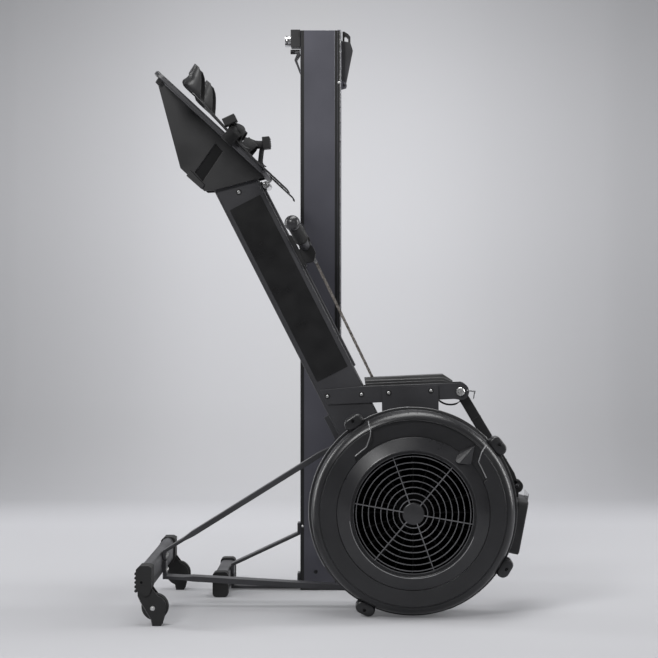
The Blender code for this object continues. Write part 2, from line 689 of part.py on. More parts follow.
def make_return(steel, plastic, rubber, chain_end):
    """Inside the tube: the chain's return pulley and the shock cord that draws it back."""
    foot = tube_point(0)
    across = ((chain_end[0] - foot[0]) * TUBE_RIGHT[0] + (chain_end[1] - foot[1]) * TUBE_RIGHT[1])
    low = ((chain_end[0] - foot[0]) * TUBE_UP[0] + (chain_end[1] - foot[1]) * TUBE_UP[1])
    wheel_right = across + RETURN_RADIUS
    top = tube_point(RETURN_UP, wheel_right)
    path = stations(tube_point(low + 0.0005, across), tube_point(RETURN_UP, across), 0.08)
    path += [(top[0] + x, top[1] + z) for x, z in
             turn(arc((0, 0), RETURN_RADIUS, 90, -90, 8), TUBE_SLANT)][1:]
    path += stations(tube_point(RETURN_UP, across + 2 * RETURN_RADIUS),
                     tube_point(0.03, across + 2 * RETURN_RADIUS), 0.08)[1:]
    rings = swept_bar(path, lambda i: (CHAIN_HEIGHT * 0.8, CHAIN_WIDTH))
    add_piece("return_chain", rings, steel, "machine")
    core = RETURN_RADIUS - CHAIN_HEIGHT / 2 - SEAT_GAP
    block = add_piece("return_pulley", disc(top, core, -0.004, 0.004), plastic, "return_block")
    hanger_at = tube_point(RETURN_UP + (HANGER_REACH - HANGER_TAIL) / 2, wheel_right)
    hanger = turn(rounded(HANGER_REACH + HANGER_TAIL, 0.016, 0.006, 2), TUBE_SLANT, hanger_at)
    for side in (-1, 1):
        near, far = sorted((side * 0.0035, side * 0.0075))
        join(block, prism_y(hanger, near, far))
    bar = turn(rounded(0.008, 0.012, 0.003, 2), TUBE_SLANT, tube_point(RETURN_UP + HANGER_REACH - 0.004, wheel_right))
    join(block, prism_y(bar, -0.0075, 0.0075))
    roller = tube_point(CORD_ROLLER_UP, CORD_ROLLER_RIGHT)
    rim = CORD_ROLLER_RADIUS + CORD_ROLLER_RIM
    guide = [(rim, -0.0075), (CORD_ROLLER_RADIUS, -0.0045), (CORD_ROLLER_RADIUS, 0.0045), (rim, 0.0075),
             (0.0033, 0.0075), (0.0033, -0.0075)]
    add_piece("cord_roller", turned(guide, roller, 16), plastic, "machine")
    reach = CORD_ROLLER_RADIUS + CORD_RADIUS + SEAT_GAP
    start_right = CORD_ROLLER_RIGHT - reach
    cord = [tube_point(RETURN_UP + HANGER_REACH + 0.0005, start_right), tube_point(CORD_ROLLER_UP, start_right)]
    turn_over = turn(arc((0, 0), reach, 90, -90, 8), TUBE_SLANT, roller)
    cord += turn_over[1:] + [tube_point(up, CORD_ROLLER_RIGHT + reach) for up in (0.45, 0.25, 0.03)]
    tube_along("shock_cord", [(x, 0, z) for x, z in cord], CORD_RADIUS, rubber, "machine", 1)


def make_main_tube(finish):
    """The slanted box tube, open at its lower end, with its chain tray along the upper face."""
    section = rounded(TUBE_DEPTH, TUBE_WIDTH, TUBE_CORNER)
    hollow = rounded(TUBE_DEPTH - 2 * TUBE_WALL, TUBE_WIDTH - 2 * TUBE_WALL, TUBE_CORNER - TUBE_WALL)

    def ring(outline, up):
        return [(tube_point(up, a)[0], b, tube_point(up, a)[1]) for a, b in outline]

    tube = add_piece("main_tube", loft([ring(section, 0), ring(section, TUBE_LENGTH)]), finish, "machine")
    cut(tube, loft([ring(hollow, -0.01), ring(hollow, TUBE_LENGTH - TUBE_WALL)]))
    tray = rounded(TRAY_DEPTH + 0.004, TRAY_WIDTH, 0.002, 2, (TUBE_DEPTH / 2 + TRAY_DEPTH / 2 - 0.002, 0))
    groove = rounded(TRAY_DEPTH, TRAY_WIDTH - 0.008, 0.001, 1, (TUBE_DEPTH / 2 + TRAY_DEPTH, 0))
    join(tube, loft([ring(tray, TRAY_LOW), ring(tray, TRAY_HIGH)]))
    cut(tube, loft([ring(groove, TRAY_LOW - 0.01), ring(groove, TRAY_HIGH + 0.01)]))


def rod(start, end, radius, steps=16):
    """A round bar between two points."""
    first, last = Vector(start), Vector(end)
    run = (last - first).normalized()
    side = run.orthogonal().normalized()
    other = run.cross(side)
    rings = []
    for middle in (first, last):
        rings.append([middle + side * a + other * b for a, b in circle((0, 0), radius, steps)])
    return loft(rings)


def twin_plates(name, outline, inner, outer, finish):
    """Two equal plates, either side of the middle plane; the right one faces the fan."""
    plates = []
    for label, side in (("right", -1), ("left", 1)):
        low, high = sorted((side * inner, side * outer))
        plates.append(add_piece(f"{name}_{label}", prism_y(outline, low, high), finish, "machine"))
    return plates


def make_head(finish, plastic, steel):
    """Side plates from the tube to the monitor's pivot, axle plates beside them, and the ribbed shroud."""
    outline = [(-0.2126, 0.5056), (-0.1955, 0.4714), (0.0980, 0.4848)]
    outline += arc(ARM_PIVOT, ARM_END_RADIUS, -75, 80, 9) + [(-0.1165, 0.5140)]
    for plate in twin_plates("side_plate", outline, PLATE_INNER, PLATE_OUTER, finish):
        cut(plate, disc(ARM_PIVOT, PIVOT_RADIUS + SEAT_GAP, -0.06, 0.06, 16))
    outline = [(-0.0693, 0.5127), (-0.0680, 0.4400), (-0.0450, 0.3600), (-0.0450, 0.2000), (-0.0360, 0.0750),
               (-0.0200, 0.0150), (0.0200, 0.0150), (0.0360, 0.0750), (0.0450, 0.2000), (0.0450, 0.3600),
               (0.0625, 0.4400), (0.0614, 0.5164)]
    for plate in twin_plates("axle_plate", outline, AXLE_PLATE_INNER, AXLE_PLATE_OUTER, finish):
        cut(plate, disc(AXLE, AXLE_RADIUS + SEAT_GAP, -0.06, 0.06, 24))
    pin = add_piece("arm_pivot_pin", disc(ARM_PIVOT, PIVOT_RADIUS, -PLATE_OUTER - 0.003, PLATE_OUTER + 0.003, 16),
                    steel, "machine")
    for side in (-1, 1):
        low, high = sorted((side * (PLATE_OUTER + SEAT_GAP), side * (PLATE_OUTER + 0.004)))
        join(pin, disc(ARM_PIVOT, 0.0100, low, high, 16))
    make_shroud(plastic)


def make_shroud(plastic):
    """A channel with stepped side bands between the side plates, open where the chain enters."""
    half = SHROUD_HALF
    rises = [(half, 0), (half, 0.34), (half - 0.0016, 0.37), (half - 0.0016, 0.55), (half - 0.0032, 0.58),
             (half - 0.0032, 0.76), (half - 0.0048, 0.79), (half - 0.0075, 1.0)]
    inner = half - 0.0075 - SHROUD_WALL
    roof = 0.90
    section = rises + [(-y, t) for y, t in reversed(rises)]
    section += [(-inner, 0), (-inner, roof), (inner, roof), (inner, 0)]
    floor_line = ((-0.1100, 0.5040), (0.0951, 0.5110))
    top_line = ((-0.1100, 0.5330, 0.0045), (0.0728, 0.5414, 0), (0.0951, 0.5270, 0))
    rings = []
    for x, top, lean in top_line:
        share = (x - floor_line[0][0]) / (floor_line[1][0] - floor_line[0][0])
        low = floor_line[0][1] + share * (floor_line[1][1] - floor_line[0][1])
        rings.append([(x + lean * (1 - t), y, low + t * (top - low)) for y, t in section])
    shroud = add_piece("chain_shroud", loft(rings), plastic, "machine")
    cut(shroud, box((-0.12, -0.012, 0.49), (-0.070, 0.012, 0.56)))


def monitor_point(down, out):
    """A point (x, z) measured from the knuckle, down the monitor and out towards its screen."""
    (dx, dz), (nx, nz) = slant(MONITOR_ANGLE), slant(MONITOR_ANGLE + 90)
    return (KNUCKLE[0] + dx * down + nx * out, KNUCKLE[1] + dz * down + nz * out)


def monitor_slab(outline, low, high):
    """Extrudes an outline of (down, y) points between two offsets from the monitor's plane."""
    rings = []
    for out in (low, high):
        rings.append([(monitor_point(a, out)[0], y, monitor_point(a, out)[1]) for a, y in outline])
    return loft(rings)


def make_monitor(finish, plastic, rubber):
    """The folding arm with its forked knuckle, and the monitor with a recessed screen and three keys."""
    c, s = slant(ARM_ANGLE)
    path = [(ARM_PIVOT[0] + c * run, ARM_PIVOT[1] + s * run) for run in (0.002, ARM_REACH)]
    half = ARM_WIDTH / 2
    arm = add_piece("monitor_arm", swept_bar(path, lambda i: (ARM_THICK, ARM_WIDTH)), finish, "monitor_arm")
    boss = PLATE_INNER - RUNNING_GAP
    join(arm, disc(ARM_PIVOT, ARM_BOSS, -boss, boss))
    join(arm, disc(KNUCKLE, KNUCKLE_RADIUS, -half, half))
    cut(arm, disc(ARM_PIVOT, PIVOT_RADIUS + RUNNING_GAP, -0.05, 0.05, 16))
    cut(arm, disc(KNUCKLE, 0.0165, -EAR_INNER, EAR_INNER))
    join(arm, disc(KNUCKLE, KNUCKLE_PIN, -half - 0.002, half + 0.002, 12))

    length = MONITOR_END - MONITOR_START
    middle = (MONITOR_START + MONITOR_END) / 2
    outline = rounded(length, MONITOR_WIDTH, 0.012, 3, (middle, 0))
    inset = rounded(length - 0.006, MONITOR_WIDTH - 0.006, 0.009, 3, (middle, 0))
    rings = []
    for shape, out in ((inset, MONITOR_BACK), (outline, MONITOR_BACK + 0.004), (outline, MONITOR_FACE - 0.002),
                       (inset, MONITOR_FACE)):
        rings.append([(monitor_point(a, out)[0], y, monitor_point(a, out)[1]) for a, y in shape])
    case = add_piece("monitor_case", loft(rings), plastic, "monitor")
    tab = [monitor_point(0.002, -0.0060), monitor_point(0.002, 0.0060), monitor_point(0.030, 0.0100),
           monitor_point(0.030, 0.0030)]
    reach = EAR_INNER - RUNNING_GAP
    join(case, prism_y(tab, -reach, reach), disc(KNUCKLE, KNUCKLE_RADIUS, -reach, reach))
    cut(case, disc(KNUCKLE, KNUCKLE_PIN + RUNNING_GAP, -0.03, 0.03, 12))
    screen = rounded(0.066, 0.120, 0.004, 1, (MONITOR_START + 0.044, 0))
    cut(case, monitor_slab(screen, MONITOR_FACE - 0.0015, MONITOR_FACE + 0.01))
    for k in range(3):
        side = (k - 1) * BUTTON_PITCH
        key = circle((BUTTON_ALONG, side), BUTTON_RADIUS, 12)
        hole = circle((BUTTON_ALONG, side), BUTTON_RADIUS + 0.0006, 12)
        cut(case, monitor_slab(hole, MONITOR_FACE - 0.006, MONITOR_FACE + 0.01))
        spot = monitor_point(BUTTON_ALONG, MONITOR_FACE)
        add_body(f"button_{k + 1}", (spot[0], side, spot[1]), "monitor")
        add_piece(f"monitor_button_{k + 1}", monitor_slab(key, MONITOR_FACE - BUTTON_DEPTH, MONITOR_FACE + 0.002),
                  rubber, f"button_{k + 1}")


def make_front_foot(finish, rubber, wheel_finish):
    """The cross tube, its two ribbed end caps with their casters, and the wheels."""
    height = FOOT_TOP - FOOT_BOTTOM
    centre = (FOOT_X, (FOOT_TOP + FOOT_BOTTOM) / 2)
    add_piece("foot_tube", prism_y(rounded(FOOT_WIDTH, height, FOOT_CORNER, 4, centre), -FOOT_TUBE_HALF,
                                   FOOT_TUBE_HALF), finish, "machine")
    pocket = rounded(FOOT_WIDTH + 2 * SEAT_GAP, height + 2 * SEAT_GAP, FOOT_CORNER + SEAT_GAP, 4, centre)
    outline = [(-0.6090, 0.1240), (-0.6020, 0.1315), (-0.5830, 0.1315), (-0.5755, 0.1280), (-0.5755, 0.0840),
               (-0.5800, 0.0680), (-0.5920, 0.0645), (-0.6090, 0.0785)]
    cheek = [(-0.6063, 0.0800), (-0.6063, 0.0656), (-0.5995, 0.0505), (-0.5770, 0.0138), (-0.5745, 0),
             (-0.5545, 0), (-0.5500, 0.0153)]
    cheek += arc(CASTER, 0.026, -30, 75, 6) + [(-0.5770, 0.0850)]
    for label, side in (("right", -1), ("left", 1)):
        low, high = sorted((side * CAP_INNER, side * CAP_OUTER))
        cap = add_piece(f"foot_cap_{label}", prism_y(outline, low, high), rubber, "machine")
        for k in range(CAP_RIBS):
            rib = side * (CAP_INNER + 0.006 + k * 0.008)
            join(cap, box((-0.6105, rib - 0.0014, 0.0815), (-0.6070, rib + 0.0014, 0.1230)))
        end = side * (FOOT_TUBE_HALF + SEAT_GAP)
        near, far = sorted((side * (CASTER_LOW - 0.0010), side * (CASTER_HIGH + 0.0010)))
        cut(cap, disc(CASTER, CASTER_RADIUS + 0.0025, near, far))
        for inner, outer in ((0.2545, 0.2604), (0.2826, 0.2890)):
            near, far = sorted((side * inner, side * outer))
            join(cap, prism_y(cheek, near, far))
        near, far = sorted((side * 0.2550, side * 0.2885))
        join(cap, disc(CASTER, CASTER_PIN, near, far, 12))
        cut(cap, prism_y(pocket, *sorted((side * (CAP_INNER - 0.01), end))))
        body = f"caster_{label}"
        low, high = side * CASTER_LOW, side * CASTER_HIGH
        add_body(body, (CASTER[0], (low + high) / 2, CASTER[1]), "machine")
        rim = 0.003
        profile = [(CASTER_PIN + 0.0005, low), (CASTER_RADIUS - rim, low), (CASTER_RADIUS, low + side * rim),
                   (CASTER_RADIUS, high - side * rim), (CASTER_RADIUS - rim, high), (CASTER_PIN + 0.0005, high)]
        add_piece(body, turned(profile, CASTER, 24), wheel_finish, body)


def make_legs(finish):
    """Two flat legs from the foot, one up to the main tube and one along the floor to the axle plates."""
    upper = [(LEG_STRAP_X, 0.1100), (LEG_STRAP_X, 0.1290), (-0.5300, 0.1568), (-0.5100, 0.1692),
             (-0.2119, 0.3548), (-0.1600, 0.3870)]
    up_along = tube_point(0.115, -TUBE_DEPTH / 2 - SEAT_GAP - LEG_THICK / 2)
    upper[-1] = tube_point(0.040, -TUBE_DEPTH / 2 - SEAT_GAP - LEG_THICK / 2)
    sizes = [(STRAP_THICK, STRAP_WIDTH)] * 3 + [(LEG_THICK, LEG_WIDTH)] * 3
    upper_leg = add_piece("upper_leg", swept_bar(upper, lambda i: sizes[i]), finish, "machine")
    tab = [tube_point(0.030, -TUBE_DEPTH / 2 - SEAT_GAP - LEG_THICK / 2), up_along]
    join(upper_leg, swept_bar(tab, lambda i: (LEG_THICK, LEG_WIDTH + 0.004)))
    between = 2 * AXLE_PLATE_INNER - 2 * SEAT_GAP
    lower = [(-0.5750, 0.0688), (-0.5300, 0.0662), (-0.5100, 0.0650), (-0.1670, 0.0445), (-0.0500, 0.0380),
             (-0.0250, 0.0365), (0.0200, 0.0340)]
    sizes_low = [(STRAP_THICK, STRAP_WIDTH), (STRAP_THICK, STRAP_WIDTH), (LEG_THICK, LEG_WIDTH),
                 (LEG_THICK, LEG_WIDTH), (LEG_THICK, LEG_WIDTH), (LEG_THICK, between), (LEG_THICK, between)]
    lower_leg = add_piece("lower_leg", swept_bar(lower, lambda i: sizes_low[i]), finish, "machine")
    half = STRAP_WIDTH / 2
    join(lower_leg, box((-0.5787, -half, 0.0650), (-0.5715, half, 0.1070)))


def board_point(run, rise):
    """A point (x, z) measured from the toe end of the board's underside, up along it and square to it."""
    (dx, dz), (nx, nz) = slant(BOARD_ANGLE), slant(BOARD_ANGLE - 90)
    return (BOARD_TOE[0] + dx * run + nx * rise, BOARD_TOE[1] + dz * run + nz * rise)


def board_prism(outline, start, end):
    """Extrudes an outline of (y, rise) points along the board."""
    rings = []
    for run in (start, end):
        rings.append([(board_point(run, rise)[0], y, board_point(run, rise)[1]) for y, rise in outline])
    return loft(rings)


def above_tube(*offsets):
    """Points (x, z) measured from the middle of the main tube's upper end."""
    return [(TUBE_TOP[0] + x, TUBE_TOP[1] + z) for x, z in offsets]


def make_footrest(finish, plastic):
    """The sloping board and the two moulded panels that carry it on the tube."""
    path = [board_point(0, BOARD_THICK / 2), board_point(BOARD_LENGTH, BOARD_THICK / 2)]
    add_piece("footboard", swept_bar(path, lambda i: (BOARD_THICK, 2 * BOARD_HALF)), finish, "machine")
    outline = [board_point(0.002, -0.0005), board_point(BOARD_LENGTH, -0.0005)]
    outline += above_tube((-0.1724, 0.2202), (-0.1185, 0.0191), (-0.1021, 0.0041),
                          (-0.0620, -0.0334), (-0.0419, -0.0323))
    recess = above_tube((-0.0371, 0.0769), (-0.0207, 0.0580), (-0.0671, -0.0110), (-0.0847, 0.0103))
    clip = above_tube((-0.1046, 0.0015), (-0.0947, 0.0142), (-0.0620, -0.0198), (-0.0694, -0.0297))
    for side, panel in zip((-1, 1), twin_plates("footrest_side", outline, SIDE_INNER, SIDE_OUTER, plastic)):
        low, high = sorted((side * (SIDE_OUTER - 0.004), side * (SIDE_OUTER + 0.01)))
        cut(panel, prism_y(recess, low, high))
        low, high = sorted((side * (SIDE_OUTER - 0.006), side * (SIDE_OUTER + 0.004)))
        join(panel, prism_y(clip, low, high))


def make_shoes(plastic, webbing):
    """A sliding heel shell on each side of the board, and a strap that arches over it."""
    runs = [(-0.0700, 0.0125, 0.56), (-0.0640, 0.0125, 0.74), (-0.0520, 0.0125, 0.90), (-0.0350, 0.0125, 1.0),
            (0.0300, 0.0125, 1.0), (0.0657, 0.0145, 1.0), (0.1791, 0.0243, 1.0), (0.2250, 0.0275, 1.0),
            (0.2480, 0.0290, 0.90), (0.2640, 0.0302, 0.68), (0.2740, 0.0310, 0.40)]
    for label, side in (("right", -1), ("left", 1)):
        y = side * SHOE_Y
        body = f"flexfoot_{label}"
        spot = board_point(0.1, 0.0125)
        add_body(body, (spot[0], y, spot[1]), "machine")
        path = [board_point(run, rise) for run, rise, _ in runs]
        sole = swept_bar(path, lambda i: (SHOE_SHEET, SHOE_WIDTH * runs[i][2]))
        shoe = add_piece(body, move(sole, (0, y, 0)), plastic, body)
        join(shoe, move(heel_cup(), (0, y, 0)))
        arch = strap_outline(side)
        strap = add_piece(f"strap_{label}", board_prism(arch, STRAP_ALONG - STRAP_BAND / 2,
                                                       STRAP_ALONG + STRAP_BAND / 2), webbing, "machine")
        buckle = [(y - side * 0.018, 0.0555), (y - side * 0.018, 0.0630), (y + side * 0.022, 0.0630),
                  (y + side * 0.022, 0.0555)]
        join(strap, board_prism(buckle, STRAP_ALONG - 0.023, STRAP_ALONG + 0.023))


def heel_cup():
    """A curved wall round the heel, open at the front, falling forward, with a notch in its back."""
    outer, inner = SHOE_WIDTH / 2, SHOE_WIDTH / 2 - 0.0045
    middle = 0.225
    horseshoe = [(0.186, -outer), (middle, -outer)] + arc((middle, 0), outer, -90, 90, 10)[1:-1]
    horseshoe += [(middle, outer), (0.186, outer), (0.186, inner), (middle, inner)]
    horseshoe += arc((middle, 0), inner, 90, -90, 10)[1:-1] + [(middle, -inner), (0.186, -inner)]

    def ring(base, lift, lean):
        points = []
        for run, y in horseshoe:
            rise = base + lift + 0.08 * (run - 0.186)
            points.append((board_point(run + lean, rise)[0], y, board_point(run + lean, rise)[1]))
        return points

    cup = loft([ring(0.0245, 0, 0), ring(0.0245, 0.022, 0.002), ring(0.0245, 0.048, 0.004)])
    corners = [(0.170, 0.0300), (0.250, 0.0860), (0.170, 0.0860)]
    cut_now(cup, prism_y([board_point(run, rise) for run, rise in corners], -0.07, 0.07))
    notch = board_prism([(-0.012, 0.0600), (-0.017, 0.0900), (0.017, 0.0900), (0.012, 0.0600)], 0.255, 0.300)
    cut_now(cup, notch)
    return cup


def cut_now(bm, tool):
    """Cuts one bmesh by another at once."""
    holders = []
    for name, shape in (("cut_target", bm), ("cut_tool", tool)):
        bmesh.ops.recalc_face_normals(shape, faces=shape.faces)
        mesh = bpy.data.meshes.new(name)
        shape.to_mesh(mesh)
        holder = bpy.data.objects.new(name, mesh)
        bpy.context.scene.collection.objects.link(holder)
        holders.append(holder)
    boolean = holders[0].modifiers.new("Difference", "BOOLEAN")
    boolean.object = holders[1]
    bpy.context.view_layer.update()
    result = holders[0].evaluated_get(bpy.context.evaluated_depsgraph_get()).to_mesh()
    bm.clear()
    bm.from_mesh(result)
    for holder in holders:
        bpy.data.objects.remove(holder)
    tool.free()


def strap_outline(side):
    """The strap's strip, seen along the board: flat foot, arch over the shoe, and wrap under the board's edge."""
    inner, outer = SHOE_Y - SHOE_WIDTH / 2 - 0.0035, SHOE_Y + SHOE_WIDTH / 2 + 0.0035
    base = BOARD_THICK + SEAT_GAP + WEBBING / 2
    line = [(inner - 0.014, base), (inner, base), (inner + 0.002, base + 0.020), (inner + 0.012, base + 0.034),
            (inner + 0.032, base + 0.043), (SHOE_Y, base + 0.0465), (outer - 0.032, base + 0.043),
            (outer - 0.012, base + 0.034), (outer - 0.002, base + 0.020), (outer, base),
            (outer, -0.0015), (outer - 0.004, -SEAT_GAP - WEBBING / 2), (BOARD_HALF - 0.020, -SEAT_GAP - WEBBING / 2)]
    near, far = [], []
    for i, point in enumerate(line):
        run, bend = path_direction(line, i)
        offset = Vector((-run.y, run.x)) * (WEBBING / 2 * bend)
        near.append((side * (point[0] + offset.x), point[1] + offset.y))
        far.append((side * (point[0] - offset.x), point[1] - offset.y))
    return near + far[::-1]


def make_handle(finish, rubber, steel, plastic):
    """The hook on the tube, the bent bar with its grips, and the swivel to the chain."""
    face = TUBE_DEPTH / 2 + SEAT_GAP
    over = TUBE_DEPTH / 2 + TRAY_DEPTH + SEAT_GAP + 0.0003

    def tube_prism(outline, low, high):
        return prism_y([tube_point(up, right) for right, up in outline], low, high)

    hook = add_piece("handle_hook", tube_prism([(over, 0.446), (over + 0.004, 0.450), (over + 0.004, 0.526),
                                                (over, 0.530)], -0.033, 0.033), plastic, "machine")
    prong = [(over + 0.001, 0.4560), (0.0795, 0.4487), (0.0925, 0.4640), (0.0935, 0.4790), (0.0920, 0.4850)]
    bar_at = (HANDLE_OUT, HANDLE_UP)
    prong += arc(bar_at, BAR_RADIUS + 0.0004, -40, -155, 6) + [(over + 0.001, 0.4930)]
    for side in (-1, 1):
        low, high = sorted((side * 0.0215, side * 0.033))
        join(hook, tube_prism([(face, 0.447), (over + 0.001, 0.447), (over + 0.001, 0.529), (face, 0.529)], low, high))
        low, high = sorted((side * 0.012, side * 0.030))
        join(hook, tube_prism(prong, low, high))

    def bar_point(y):
        rise = 0.056 - SWEEP * (0.205 - abs(y))
        if abs(y) < 0.075:
            share = max(0.0, (abs(y) - BAR_STRAIGHT) / (0.075 - BAR_STRAIGHT))
            rise = (0.056 - SWEEP * 0.130) * share ** 1.6
        return Vector((HANDLE[0] + TUBE_UP[0] * rise, y, HANDLE[1] + TUBE_UP[1] * rise))

    spots = [-0.199, -0.140, -0.090, -0.075, -0.062, -0.050, -0.040, -BAR_STRAIGHT]
    spots += [-y for y in reversed(spots)]
    tube_along("handle_bar", [bar_point(y) for y in spots], BAR_RADIUS, finish, "handle", 2)
    for label, side in (("right", -1), ("left", 1)):
        start, end = bar_point(side * GRIP_INNER), bar_point(side * (GRIP_OUTER + 0.009))
        run = (end - start).normalized()
        grip = add_piece(f"grip_{label}", rod(start, end, GRIP_RADIUS, 12), rubber, "handle")
        ball_at = bar_point(side * GRIP_OUTER)
        ball = bmesh.new()
        bmesh.ops.create_uvsphere(ball, u_segments=12, v_segments=8, radius=BALL_RADIUS)
        bmesh.ops.translate(ball, verts=ball.verts, vec=ball_at)
        join(grip, ball)
        cut(grip, rod(start - run * 0.01, bar_point(side * 0.199) + run * 0.0004, BAR_RADIUS + 0.0008, 12))
    link = add_piece("chain_swivel", swept_bar([HANDLE, near_point(HANDLE, CHAIN_END, 0.0005)],
                                               lambda i: (0.008, 0.011)), steel, "handle")
    cut(link, disc(HANDLE, BAR_RADIUS + SEAT_GAP, -0.02, 0.02, 24))


def near_point(start, end, short):
    """The point that lies a little short of the end, on the line to it."""
    run = math.dist(start, end)
    share = (run - short) / run
    return (start[0] + (end[0] - start[0]) * share, start[1] + (end[1] - start[1]) * share)


def at_rail(bm):
    return move(bm, (0, RAIL_Y, 0))


def at_rail_top(face, *offsets):
    """Points (x, z) measured from one face of the rail at its upper end."""
    return [(face + x, RAIL_TOP + z) for x, z in offsets]


def knob_bar(far, near, radius, steps):
    """A round bar on the lock knob's line, between two distances out from the rail."""
    return at_rail(rod((RAIL_LEFT - far, 0, KNOB_Z), (RAIL_LEFT - near, 0, KNOB_Z), radius, steps))


def make_rail(finish, alloy, plastic, steel, rubber):
    """The rail with its track, end cap, hook block and latch, standing on the rear foot."""
    back = RAIL_RIGHT - TRACK_THICK
    outline = [(RAIL_LEFT, -RAIL_HALF + 0.003), (RAIL_LEFT + 0.003, -RAIL_HALF), (back - 0.030, -RAIL_HALF),
               (back - 0.028, -RAIL_HALF + 0.002), (back - 0.024, -RAIL_HALF + 0.002), (back - 0.022, -RAIL_HALF),
               (back, -RAIL_HALF), (back, -TRACK_HALF), (RAIL_RIGHT - 0.001, -TRACK_HALF),
               (RAIL_RIGHT, -TRACK_HALF + 0.001)]
    outline += [(x, -y) for x, y in reversed(outline)]
    rail = add_piece("rail_beam", at_rail(prism_z(outline, RAIL_BOTTOM, RAIL_TOP)), alloy, "rail_section")
    wall = RAIL_WALL
    cut(rail, at_rail(box((RAIL_LEFT + wall, -RAIL_HALF + 2 * wall, 0), (back - wall, RAIL_HALF - 2 * wall,
                                                                      RAIL_TOP + 0.02))))
    px, pz = LATCH_PIVOT
    for low, high in ((-0.0130, -0.0088), (0.0088, 0.0130)):
        ear = [(RAIL_RIGHT - 0.001, pz - 0.010), (px + 0.004, pz - 0.006), (px + 0.006, pz), (px + 0.004, pz + 0.006),
               (RAIL_RIGHT - 0.001, pz + 0.010)]
        join(rail, at_rail(prism_y(ear, low, high)))
    join(rail, at_rail(disc(LATCH_PIVOT, 0.0028, -0.0125, 0.0125, 12)))
    lever = at_rail_top(RAIL_RIGHT, (0.0043, -0.0013)) + arc(LATCH_PIVOT, LATCH_FOOT, 150, 345, 8)
    lever += at_rail_top(RAIL_RIGHT, (0.0288, -0.0479), (0.0216, -0.0290), (0.0209, -0.0067))
    latch = add_piece("latch_lever", at_rail(prism_y(lever, -0.0080, 0.0080)), plastic, "latch")
    cut(latch, at_rail(disc(LATCH_PIVOT, 0.0034, -0.02, 0.02, 12)))
    cap = rounded(RAIL_RIGHT - RAIL_LEFT, 2 * TRACK_HALF, 0.005, 2,
                  ((RAIL_LEFT + RAIL_RIGHT) / 2, 0))
    end_cap = add_piece("rail_end_cap", at_rail(prism_z(cap, 0, RAIL_BOTTOM - SEAT_GAP)), plastic, "rail_section")
    plug = rounded(back - RAIL_LEFT - 2 * wall - 0.001, 2 * RAIL_HALF - 4 * wall - 0.001, 0.003, 2,
                   ((RAIL_LEFT + back) / 2, 0))
    join(end_cap, at_rail(prism_z(plug, RAIL_BOTTOM - 0.002, RAIL_BOTTOM + 0.025)))
    hook = at_rail_top(RAIL_LEFT, (-SEAT_GAP, 0.0020), (-0.0180, 0.0020), (-0.0238, -0.0020), (-0.0238, -0.0410),
                       (-0.0100, -0.0470), (-0.0090, -0.0600), (-0.0020, -0.1030), (-SEAT_GAP, -0.1030))
    block = add_piece("rail_hook_block", at_rail(prism_y(hook, -0.0220, 0.0220)), plastic, "rail_section")
    cut(block, knob_bar(0.032, 0.011, 0.0052, 12))
    knob = add_piece("lock_knob", knob_bar(0.038, 0.0244, 0.0140, 20), steel, "knob")
    join(knob, knob_bar(0.032, 0.0115, 0.0045, 12))
    make_rear_foot(finish, rubber)


def make_rear_foot(finish, rubber):
    """The rear cross tube with its two end caps, and the two straps that tie it to the rail."""
    half = REAR_FOOT_HALF
    mid = REAR_FOOT_TOP / 2
    centre = (REAR_FOOT_X, mid)
    width, height = REAR_FOOT_WIDTH - 0.004, REAR_FOOT_TOP - 0.009
    tube = rounded(width, height, 0.008, 3, centre)
    add_piece("rear_foot_tube", at_rail(prism_y(tube, -half + 0.006, half - 0.006)), finish, "rail_section")
    outline = rounded(REAR_FOOT_WIDTH, REAR_FOOT_TOP, 0.009, 4, centre)
    pocket = rounded(width + 2 * SEAT_GAP, height + 2 * SEAT_GAP, 0.008 + SEAT_GAP, 3, centre)
    for label, side in (("right", -1), ("left", 1)):
        low, high = sorted((side * (half - 0.036), side * half))
        cap = add_piece(f"rear_cap_{label}", at_rail(prism_y(outline, low, high)), rubber, "rail_section")
        low, high = sorted((side * (half - 0.05), side * (half - 0.006 + SEAT_GAP)))
        cut(cap, at_rail(prism_y(pocket, low, high)))
    foot_face = REAR_FOOT_X + width / 2 + SEAT_GAP
    rail_face = RAIL_LEFT - SEAT_GAP
    upper = [(foot_face + 0.0035, 0.0360), (foot_face + 0.0035, 0.0610), (rail_face - 0.0035, 0.1375),
             (rail_face - 0.0035, 0.1640)]
    add_piece("rear_upper_leg", at_rail(swept_bar(upper, lambda i: (0.007, 0.040))), finish, "rail_section")
    lower = [(foot_face + 0.0035, 0.0340), (foot_face + 0.0035, 0.0062), (rail_face - 0.0035, 0.0062),
             (rail_face - 0.0035, 0.0400)]
    leg = swept_bar(lower, lambda i: (0.007, 0.040))
    add_piece("rear_lower_leg", at_rail(leg), finish, "rail_section")


